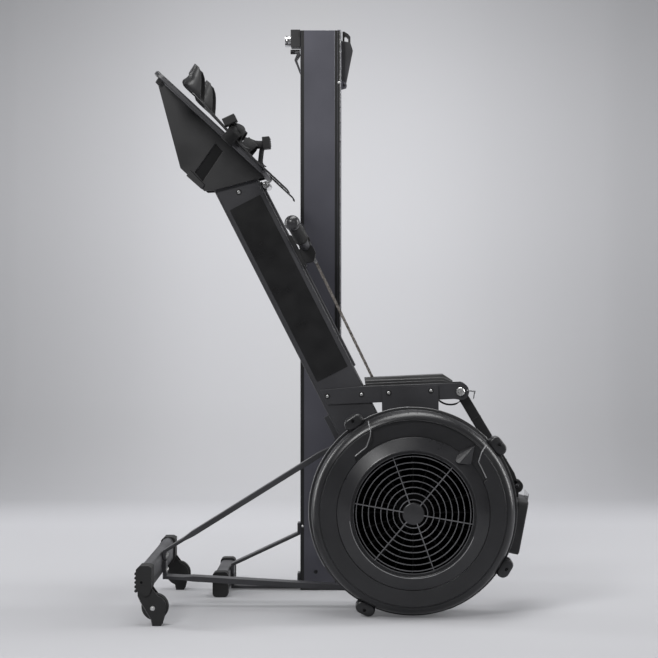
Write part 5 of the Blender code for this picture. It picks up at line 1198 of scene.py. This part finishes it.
def make_monitor():
    """Case, glass in its recess, three soft keys, each in a near-black ring that paints the shade in its gap, and
    a battery lid on the back.
    """
    soften("monitor_case", PLASTIC, 0.0018, 3, 30)
    outline = rounded_box(-0.059, 0.059, 0.009, 0.101, 0.004)
    points = [monitor_point(down, 0.0268, y) for y, down in outline]
    out = heading(MONITOR_ANGLE + 90)
    new_piece("monitor_glass", solid_from(points, out * 0.0008), GLASS, "monitor", rounded=(0.0003, 2))
    for k in range(3):
        soften(f"monitor_button_{k + 1}", RUBBER, 0.0007, 3, 35)
        # A near-black ring round each key paints the shade in its gap.
        spot = monitor_point(0.125, 0.0283, 0.024 * (k - 1))
        disc_piece(f"key_gap_shade_{k + 1}", spot, out, [(0.0085, 0), (0.0084, 0.0005), (0.0074, 0.0006),
            (0.0071, 0.0)], PAINTED_SHADE, "monitor")
    lid = rounded_box(-0.030, 0.030, 0.050, 0.110, 0.004)
    points = [monitor_point(down, 0.0023, y) for y, down in lid]
    new_piece("battery_lid", solid_from(points, out * -0.0009), PLASTIC, "monitor", rounded=(0.0004, 2))


def lead_path(y, low):
    """A thin lead from the shroud's end, hanging in a shallow loop to the arm."""
    line = [(0.0400, 0.5088), (0.0425, 0.5020), (0.0480, 0.4950), (0.0560, 0.4880), (0.0656, 0.4800 - low),
        (0.0745, 0.4746 - low), (0.0840, 0.4716 - low), (0.0948, 0.4712 - low), (0.1045, 0.4732 - low),
        (0.1125, 0.4765), (0.1182, 0.4796)]
    return [tuple(at(x, y, z)) for x, z in along_line(line, 3)]


def make_leads():
    """Two thin leads that cross from the shroud to the arm."""
    for label, y, low in (("speed", -0.004, 0.0), ("signal", 0.004, 0.0025)):
        path = lead_path(y, low)
        lead = new_piece(f"lead_{label}", wire(path, 0.0011, 10), RUBBER, None, smooth=60)
        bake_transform(lead)


def make_arm():
    """The folding arm: a flat bar with a round boss at each end, cable ties, screws and a keeper tab."""
    start, end = ARM_PIVOT, KNUCKLE
    length = math.dist(start, end)
    lean = math.degrees(math.atan2(end[1] - start[1], end[0] - start[0]))
    outline = placed([(0.006, -0.0118), (length - 0.030, -0.0118), (length - 0.002, -0.0068),
        (length - 0.002, 0.0068), (length - 0.030, 0.0118), (0.006, 0.0118)], lean, start)
    new_piece("monitor_arm_bar", plate(outline, -0.020, 0.020), DEEP_BLACK, "monitor_arm", "monitor_arm",
        rounded=(0.0022, 3, 25))
    bosses = merge(cross_pin(at(start[0], 0, start[1]), 0.0348, 0.0125, 40),
        *[cross_pin(at(end[0], y, end[1]), 0.0029, 0.0150, 40) for y in (-0.0171, 0.0171)])
    new_piece("arm_bosses", bosses, DEEP_BLACK, "monitor_arm", rounded=(0.0010, 2))
    for k, along_arm in enumerate((0.072, 0.190), 1):
        band = placed([(along_arm, -0.0122), (along_arm + 0.0030, -0.0122), (along_arm + 0.0030, 0.0122),
            (along_arm, 0.0122)], lean, start)
        new_piece(f"arm_tie_{k}", plate(band, -0.0204, 0.0204), RUBBER, "monitor_arm", rounded=(0.0004, 2))
    tab = [(0.1270, 0.5060), (0.1479, 0.5040), (0.1440, 0.4852), (0.1415, 0.4852), (0.1440, 0.5010),
        (0.1270, 0.5030)]
    new_piece("arm_keeper", plate(tab, -0.0412, -0.0395), STEEL, "machine", rounded=(0.0004, 2))
    for label, side in SIDES:
        screw(f"knuckle_screw_{label}", at(KNUCKLE[0], side * 0.0200, KNUCKLE[1]), (0, side, 0), 0.0050,
            BLACK_OXIDE, "monitor_arm")


# Rail section


# Name, spans across, out from the middle and up, finish, width of the rounded edge
RAIL_STRIPS = (("rail_corner", (-0.2672, -0.2588), (0.0219, 0.0224), (0.0105, 1.3795), DEEP_BLACK, 0.0002),
    ("rail_infill", (-0.2580, -0.1840), (0.0195, 0.0221), (0.0105, 1.3795), ALLOY, 0.0001),
    # The next two are black strips that paint shade: beside the flange, and in the track's groove.
    ("rail_shadow", (-0.1830, -0.1763), (0.0218, 0.0224), (0.0105, 1.3795), DEEP_BLACK, 0.0001),
    ("track_groove_shade", (-0.1757, -0.1704), (0.0308, 0.0313), (0.012, 1.378), DEEP_BLACK, 0.0001),
    ("track_edge", (-0.1702, -0.1690), (0.0308, 0.0313), (0.012, 1.378), ZINC, 0.0001))


def rail_strip(name, across, out, up, finish, width):
    """A thin strip along the rail: its span in X, in Y from the rail's middle, and in Z."""
    (x0, x1), (y0, y1), (z0, z1) = across, out, up
    points = [at(x0, RAIL_Y + y0, z0), at(x1, RAIL_Y + y0, z0), at(x1, RAIL_Y + y1, z0),
        at(x0, RAIL_Y + y1, z0)]
    new_piece(name, solid_from(points, (0, 0, z1 - z0)), finish, "rail_section", rounded=(width, 2))


def rail_plate(outline, half):
    return plate(outline, RAIL_Y - half, RAIL_Y + half)


def make_rail():
    """The rail, its trim strips and bolts, two of the strips black ones that paint shade, the hook block, and the
    latch with its slotted hook.
    """
    soften("rail_beam", ALLOY, 0.0012, 2, 40)
    for label, side in SIDES:
        for name, across, out, up, finish, width in RAIL_STRIPS:
            rail_strip(f"{name}_{label}", across, sorted(side * y for y in out), up, finish, width)
    rail_strip("running_strip", (-0.1674, -0.1670), (-0.0265, 0.0265), (0.012, 1.378), STEEL, 0.0001)
    for label, side in SIDES:
        screw(f"rail_bolt_{label}", at(-0.2620, RAIL_Y + side * 0.0224, 0.1567), (0, side, 0), 0.0030, ZINC,
            "rail_section", washer=False)
        screw(f"rail_low_bolt_{label}", at(-0.2300, RAIL_Y + side * 0.0221, 0.0440), (0, side, 0), 0.0034,
            BLACK_OXIDE, "rail_section")
    soften("rail_end_cap", PLASTIC, 0.0012, 2)
    make_hook_block()
    lever = [(-0.1668, 1.3560), (-0.1668, 1.2600), (-0.1656, 1.2490)]
    lever += ring_arc((-0.1606, 1.2446), 0.0046, 180, 350, 8)
    lever += [(-0.1384, 1.3321), (-0.1446, 1.3520)]
    new_piece("latch_plate", rail_plate(lever, 0.0080), POWDER, "latch", "latch_lever",
        rounded=(0.0010, 2, 30))
    hook = [(-0.1641, 1.3500), (-0.1641, 1.3790), (-0.1600, 1.3790), (-0.1503, 1.3732), (-0.1444, 1.3658),
        (-0.1444, 1.3505), (-0.1500, 1.3515), (-0.1500, 1.3609), (-0.1553, 1.3668), (-0.1592, 1.3655),
        (-0.1592, 1.3500)]
    new_piece("latch_hook", rail_plate(hook, 0.0078), DEEP_BLACK, "latch", rounded=(0.0006, 2))
    for label, side in SIDES:
        screw(f"latch_pin_{label}", at(-0.1592, RAIL_Y + side * 0.0130, 1.2460), (0, side, 0), 0.0034,
            BLACK_OXIDE, "rail_section", washer=False)
        screw(f"latch_bolt_{label}", at(-0.1722, RAIL_Y + side * 0.0312, 1.2496), (0, side, 0), 0.0036, ZINC,
            "rail_section", washer=False)


def make_hook_block():
    """The block on the rail's back: a slotted head, a bright barrel under it and a slim release lever."""
    left = -0.2683
    head = [(left, 1.3820), (left - 0.0225, 1.3820), (left - 0.0235, 1.3810), (left - 0.0235, 1.3420),
        (left - 0.0225, 1.3385), (left, 1.3385)]
    new_piece("hook_block_head", rail_plate(head, 0.022), PLASTIC, "rail_section", "rail_hook_block",
        rounded=(0.0010, 2))
    # Black sheets that paint the shade in the head's slot.
    slot = [(left - 0.0066, 1.3757), (left - 0.0010, 1.3757), (left - 0.0010, 1.3609),
        (left - 0.0050, 1.3640)]
    for label, side in SIDES:
        near, far = span(side, 0.0219, 0.0225)
        new_piece(f"hook_slot_shade_{label}", plate(slot, RAIL_Y + near, RAIL_Y + far), DEEP_BLACK, "rail_section")
    for label, x0, x1, finish in (("sleeve", left - 0.0245, left - 0.0131, BLACK_OXIDE),
            ("barrel", left - 0.0130, left - 0.0010, CHROME)):
        drum = cylinder(at(x0, RAIL_Y, 1.3290), at(x1, RAIL_Y, 1.3290), 0.0056, 28)
        new_piece(f"hook_{label}", drum, finish, "rail_section", rounded=(0.0006, 2))
    lever = [(left - 0.0002, 1.3240), (left - 0.0077, 1.3240), (left - 0.0145, 1.3075),
        (left - 0.0107, 1.2990), (left - 0.0017, 1.2760), (left - 0.0003, 1.2760), (left - 0.0003, 1.2850),
        (left - 0.0069, 1.3040), (left - 0.0087, 1.3085), (left - 0.0022, 1.3180)]
    new_piece("hook_lever", rail_plate(lever, 0.018), POWDER, "rail_section", rounded=(0.0006, 2))


def make_lock_knob():
    """A turned knob with a rounded rim and a dished face."""
    profile = [(0.0045, 0), (0.0125, 0.0006), (0.0138, 0.0018), (0.0140, 0.0030), (0.0140, 0.0098),
        (0.0134, 0.0116), (0.0110, 0.0130), (0.0080, 0.0124), (AXIS, 0.0120)]
    bm = spun(at(-0.2926, RAIL_Y, 1.355), (-1, 0, 0), profile, 48)
    new_piece("lock_knob_head", bm, CHROME, "knob", smooth=40)


# Seat


SEAT_MIDDLE = 0.1925
SEAT_BACK = -0.125
SEAT_FACE = -0.087
CLOTH_FRAMES = 20


def pad_outline(scale=1.0, steps=72):
    """The seat seen from above: rounded, waisted at the front, with a notch for the tailbone."""
    points = []
    for i in range(steps):
        c, s = direction(360 * i / steps)
        y = math.copysign(abs(c) ** 0.62, c) * 0.165
        z = math.copysign(abs(s) ** 0.62, s) * 0.1225
        if s > 0:
            y *= 1 - 0.10 * s
            z -= 0.035 * s * math.exp(-(y / 0.035) ** 2)
        points.append((y * scale, z * scale))
    return points


def make_seat_pad():
    """The pad: a closed form swollen by a short cloth run from a smaller start, flat where it is carried."""
    back, front = SEAT_BACK + 0.0008, SEAT_FACE - 0.0095
    points = [at(back, RAIL_Y + y, SEAT_MIDDLE + z) for y, z in pad_outline(0.965)]
    bm = solid_from(points, (front - back, 0, 0))
    bevel_edges(bm, rim_at(bm, 0, at(front, 0, 0).x), 0.009, 3)
    pad = new_piece("seat_cushion", bm, FOAM, "seat", "seat_pad", smooth=180)
    remesh = pad.modifiers.new("Even mesh", "REMESH")
    remesh.mode = "VOXEL"
    remesh.voxel_size = 0.005
    settle(pad)
    swell(pad, at(back, 0, 0).x + 0.004, 0.006)
    hollow(pad, at(front - 0.006, 0, 0).x)
    smooth = pad.modifiers.new("Smooth", "SUBSURF")
    smooth.levels = 1
    smooth.render_levels = 1
    path = [at(back + 0.0045, RAIL_Y + y, SEAT_MIDDLE + z) for y, z in pad_outline(0.972, 96)]
    new_piece("seat_piping", wire(path, 0.0016, 8, closed=True), FOAM, "seat", smooth=180)
    base = [at(SEAT_BACK - 0.0001, RAIL_Y + y, SEAT_MIDDLE + z) for y, z in pad_outline(0.955)]
    new_piece("seat_base", solid_from(base, (0.0042, 0, 0)), PLASTIC, "seat", rounded=(0.0010, 2))


def settle(piece):
    """Applies a piece's modifiers to its mesh."""
    bpy.context.view_layer.update()
    graph = bpy.context.evaluated_depsgraph_get()
    mesh = bpy.data.meshes.new_from_object(piece.evaluated_get(graph))
    mesh.name = piece.name
    piece.modifiers.clear()
    piece.data = mesh


def swell(piece, pinned_below, cap):
    """Inflates a pad with cloth pressure; its flat underside is held and no point moves past the cap."""
    start = [v.co.copy() for v in piece.data.vertices]
    held = piece.vertex_groups.new(name="held")
    held.add([v.index for v in piece.data.vertices if v.co.x < pinned_below], 1.0, "ADD")
    cloth = piece.modifiers.new("Cloth", "CLOTH")
    cloth.settings.vertex_group_mass = "held"
    cloth.settings.quality = 5
    cloth.settings.use_pressure = True
    cloth.settings.uniform_pressure_force = 4
    cloth.settings.effector_weights.gravity = 0
    cloth.point_cache.frame_start = 1
    cloth.point_cache.frame_end = CLOTH_FRAMES
    for number in range(1, CLOTH_FRAMES + 1):
        bpy.context.scene.frame_set(number)
    settle(piece)
    for vertex, before in zip(piece.data.vertices, start):
        move = vertex.co - before
        if move.length > cap:
            vertex.co = before + move.normalized() * cap
    piece.vertex_groups.clear()
    bpy.context.scene.frame_set(1)


def hollow(piece, front):
    """Presses two shallow hollows into the pad's face, one on each side."""
    for vertex in piece.data.vertices:
        if vertex.co.x < front - 0.004:
            continue
        y = vertex.co.y - ORIGIN.y - RAIL_Y
        z = vertex.co.z - SEAT_MIDDLE
        depth = 0.0050 * math.exp(-((abs(y) - 0.062) / 0.045) ** 2 - ((z - 0.010) / 0.070) ** 2)
        vertex.co.x -= depth


# Camera, light and stage


def make_camera():
    camera = bpy.data.cameras.new("camera")
    camera.lens = 107.5
    camera.sensor_width = 36
    camera.shift_x = -0.0547
    camera.shift_y = -0.0395
    holder = in_scene("camera", camera)
    holder.location = (0.0632, -4.6665, 0.7071)
    holder.rotation_euler = (math.radians(90), 0, 0)
    bpy.context.scene.camera = holder


def soft_lamp(name, place, aim, size, power):
    lamp = bpy.data.lights.new(name, "AREA")
    lamp.shape = "RECTANGLE"
    lamp.size, lamp.size_y = size
    lamp.energy = power
    holder = in_scene(name, lamp)
    holder.location = place
    holder.rotation_euler = (Vector(aim) - Vector(place)).to_track_quat("-Z", "Y").to_euler()


def make_light():
    """Five soft lamps, and a dim sky that shows the camera a plain grey."""
    soft_lamp("overhead", (0.1, -0.1, 3.3), (0.0, 0.0, 0.3), (2.6, 1.4), 74)
    soft_lamp("high_left", (-1.5, -2.7, 2.5), (-0.1, 0.2, 1.35), (0.8, 0.7), 58)
    soft_lamp("left_strip", (-2.6, 0.6, 1.2), (0.1, 0.0, 0.4), (0.4, 2.2), 34)
    soft_lamp("right_strip", (2.6, 0.2, 1.3), (0.2, 0.0, 0.4), (0.4, 2.2), 40)
    soft_lamp("front_fill", (1.8, -4.0, 1.7), (0.1, 0.0, 0.5), (2.0, 1.6), 14)
    world = bpy.data.worlds.new("studio")
    world.use_nodes = True
    tree = world.node_tree
    air = tree.nodes["Background"]
    air.inputs["Color"].default_value = (0.62, 0.62, 0.63, 1)
    air.inputs["Strength"].default_value = 0.22
    shown = add_node(tree, "Background", {"Color": (0.50, 0.50, 0.51, 1)}).outputs["Background"]
    rays = add_node(tree, "LightPath", {})
    choice = mixed(tree, rays.outputs["Is Camera Ray"], air.outputs["Background"], shown)
    tree.links.new(choice, tree.nodes["World Output"].inputs["Surface"])
    bpy.context.scene.world = world
    bpy.context.scene.view_settings.view_transform = "Standard"


def mixed(tree, share, first, second):
    return add_node(tree, "MixShader", {0: share, 1: first, 2: second}).outputs["Shader"]


def shown_rays(tree, rays):
    """One where a ray comes from the camera, or by gloss or glass; nought elsewhere."""
    total = rays.outputs["Is Camera Ray"]
    for name in ("Is Glossy Ray", "Is Transmission Ray"):
        total = add_node(tree, "Math", {0: total, 1: rays.outputs[name]},
            operation="MAXIMUM").outputs["Value"]
    return total


# Stops of (share, value). They paint light: the wall glows brightest in the middle and dimmer to the sides, foot
# and top; the floor's colour grows lighter towards the back.
WALL_GLOW_ACROSS = ((0.044, 0.53), (0.20, 0.77), (0.312, 0.95), (0.48, 1.0), (0.62, 0.945), (0.73, 0.815),
    (0.884, 0.604), (0.945, 0.53))
WALL_GLOW_UP = ((0.04, 0.52), (0.17, 0.58), (0.40, 0.655), (0.55, 0.705), (0.70, 0.67), (0.81, 0.61), (0.91, 0.52),
    (1.0, 0.45))
FLOOR_PAINTED_LIGHT = ((0.0, 0.48), (0.40, 0.475), (0.58, 0.47), (0.72, 0.57), (0.85, 0.79), (1.0, 0.79))
PAPER_TINT = (0.985, 0.99, 1.03)


def tone_along(tree, source, low, high, stops, tints=(1, 1, 1)):
    """A grey that runs through stops of (share, value) as a coordinate goes from low to high."""
    share = add_node(tree, "MapRange", {"Value": source, "From Min": low, "From Max": high})
    ramp = add_node(tree, "ValToRGB", {"Fac": share.outputs["Result"]})
    ramp.color_ramp.interpolation = "B_SPLINE"
    line = ramp.color_ramp.elements
    while len(line) < len(stops):
        line.new(0.5)
    for mark, (place, value) in zip(line, stops):
        mark.position = place
        mark.color = (*[value * tint for tint in tints], 1)
    return ramp.outputs["Color"]


def backdrop_finish():
    """Matt grey: a lit floor whose colour is painted lighter towards the back, a wall that glows with painted
    light in a soft vignette, and no wall from behind.
    """
    finish, tree, floor = new_finish("studio_paper", {"Roughness": 0.85})
    axes = add_node(tree, "SeparateXYZ", {"Vector": object_place(tree)}).outputs
    across = tone_along(tree, axes["X"], -1.40, 1.30, WALL_GLOW_ACROSS, PAPER_TINT)
    upward = tone_along(tree, axes["Z"], 0.0, 2.0, WALL_GLOW_UP)
    glow = add_node(tree, "Mix", {"Factor": 1, "A": across, "B": upward}, data_type="RGBA",
        blend_type="MULTIPLY")
    wall = add_node(tree, "Emission", {"Color": glow.outputs["Result"]}).outputs["Emission"]
    tree.links.new(tone_along(tree, axes["Y"], -3.0, 3.0, FLOOR_PAINTED_LIGHT, PAPER_TINT),
        floor.inputs["Base Color"])
    depth = tone_along(tree, axes["Y"], 1.6, 2.9, ((0, 0), (1, 1)))
    rays = add_node(tree, "LightPath", {})
    paper = mixed(tree, product(tree, depth, shown_rays(tree, rays)), floor.outputs["BSDF"], wall)
    behind = product(tree, add_node(tree, "NewGeometry", {}).outputs["Backfacing"],
        rays.outputs["Is Camera Ray"])
    clear = add_node(tree, "BsdfTransparent", {}).outputs["BSDF"]
    tree.links.new(mixed(tree, behind, paper, clear), tree.nodes["Material Output"].inputs["Surface"])
    return finish


def make_stage():
    """Floor and backdrop: one sheet that turns up behind the object."""
    line = [(-9.0, 0.0), (2.4, 0.0)] + ring_arc((2.4, 0.6), 0.6, -85, 0, 12) + [(3.0, 7.0)]
    bm = swept([(-9.0, y, z - 0.0005) for y, z in line], (18.0, 0, 0))
    bm.faces.ensure_lookup_table()
    bm.normal_update()
    if bm.faces[0].normal.z < 0:
        bmesh.ops.reverse_faces(bm, faces=bm.faces)
    mesh = bpy.data.meshes.new("studio_sweep")
    bm.to_mesh(mesh)
    bm.free()
    mesh.materials.append(backdrop_finish())
    mesh.shade_smooth()
    in_scene("studio_sweep", mesh)


# All together


def both(name, *rest):
    """The same words for the right and the left one of a pair."""
    return [(f"{name}_{label}", *rest) for label, _ in SIDES]


# Node, finish and width of its rounded edges
SOFTENED = (("main_tube", POWDER, 0.0025), *both("side_plate", POWDER, 0.0008),
    *both("axle_plate", POWDER, 0.0008), ("arm_pivot_pin", ZINC, 0.0008), ("chain_shroud", PLASTIC, 0.0007),
    ("foot_tube", POWDER, 0.0015),
    *both("foot_cap", RUBBER, 0.0010), ("upper_leg", POWDER, 0.0012), ("lower_leg", POWDER, 0.0012),
    *both("footrest_side", PLASTIC, 0.0010), ("handle_hook", DEEP_BLACK, 0.0010),
    ("rear_foot_tube", POWDER, 0.0012), *both("rear_cap", RUBBER, 0.0012), ("rear_upper_leg", POWDER, 0.0012),
    ("rear_lower_leg", POWDER, 0.0012), ("seat_carriage", POWDER, 0.0008))
# The fan wheel takes the near-black that paints the shade inside the housing.
REPAINTED = (("fan_wheel", PAINTED_SHADE), ("axle", STEEL), ("hub_bearing", ZINC), ("sprocket", STEEL),
    ("return_chain", CHAIN), ("return_pulley", PLASTIC), ("cord_roller", PLASTIC), ("shock_cord", RUBBER),
    ("seat_roller_top", PLASTIC), ("seat_roller_bottom", PLASTIC), *both("seat_guide", PLASTIC),
    ("lock_knob", CHROME))

for make in (make_camera, make_leads, make_light, make_stage):
    make()
for node, finish, width in SOFTENED:
    soften(node, finish, width)
for node, finish in REPAINTED:
    repaint(node, finish)
for make in (make_front_cover, make_rear_cover, make_grille, make_damper, make_panels, make_tube_edges,
        make_tray_ribs, make_bolts, make_casters, make_foot_bolts, make_straps, make_shoes, make_board,
        make_handle, make_chain, make_swivel, make_monitor, make_arm, make_rail, make_lock_knob,
        make_seat_pad):
    make()

bpy.context.view_layer.update()
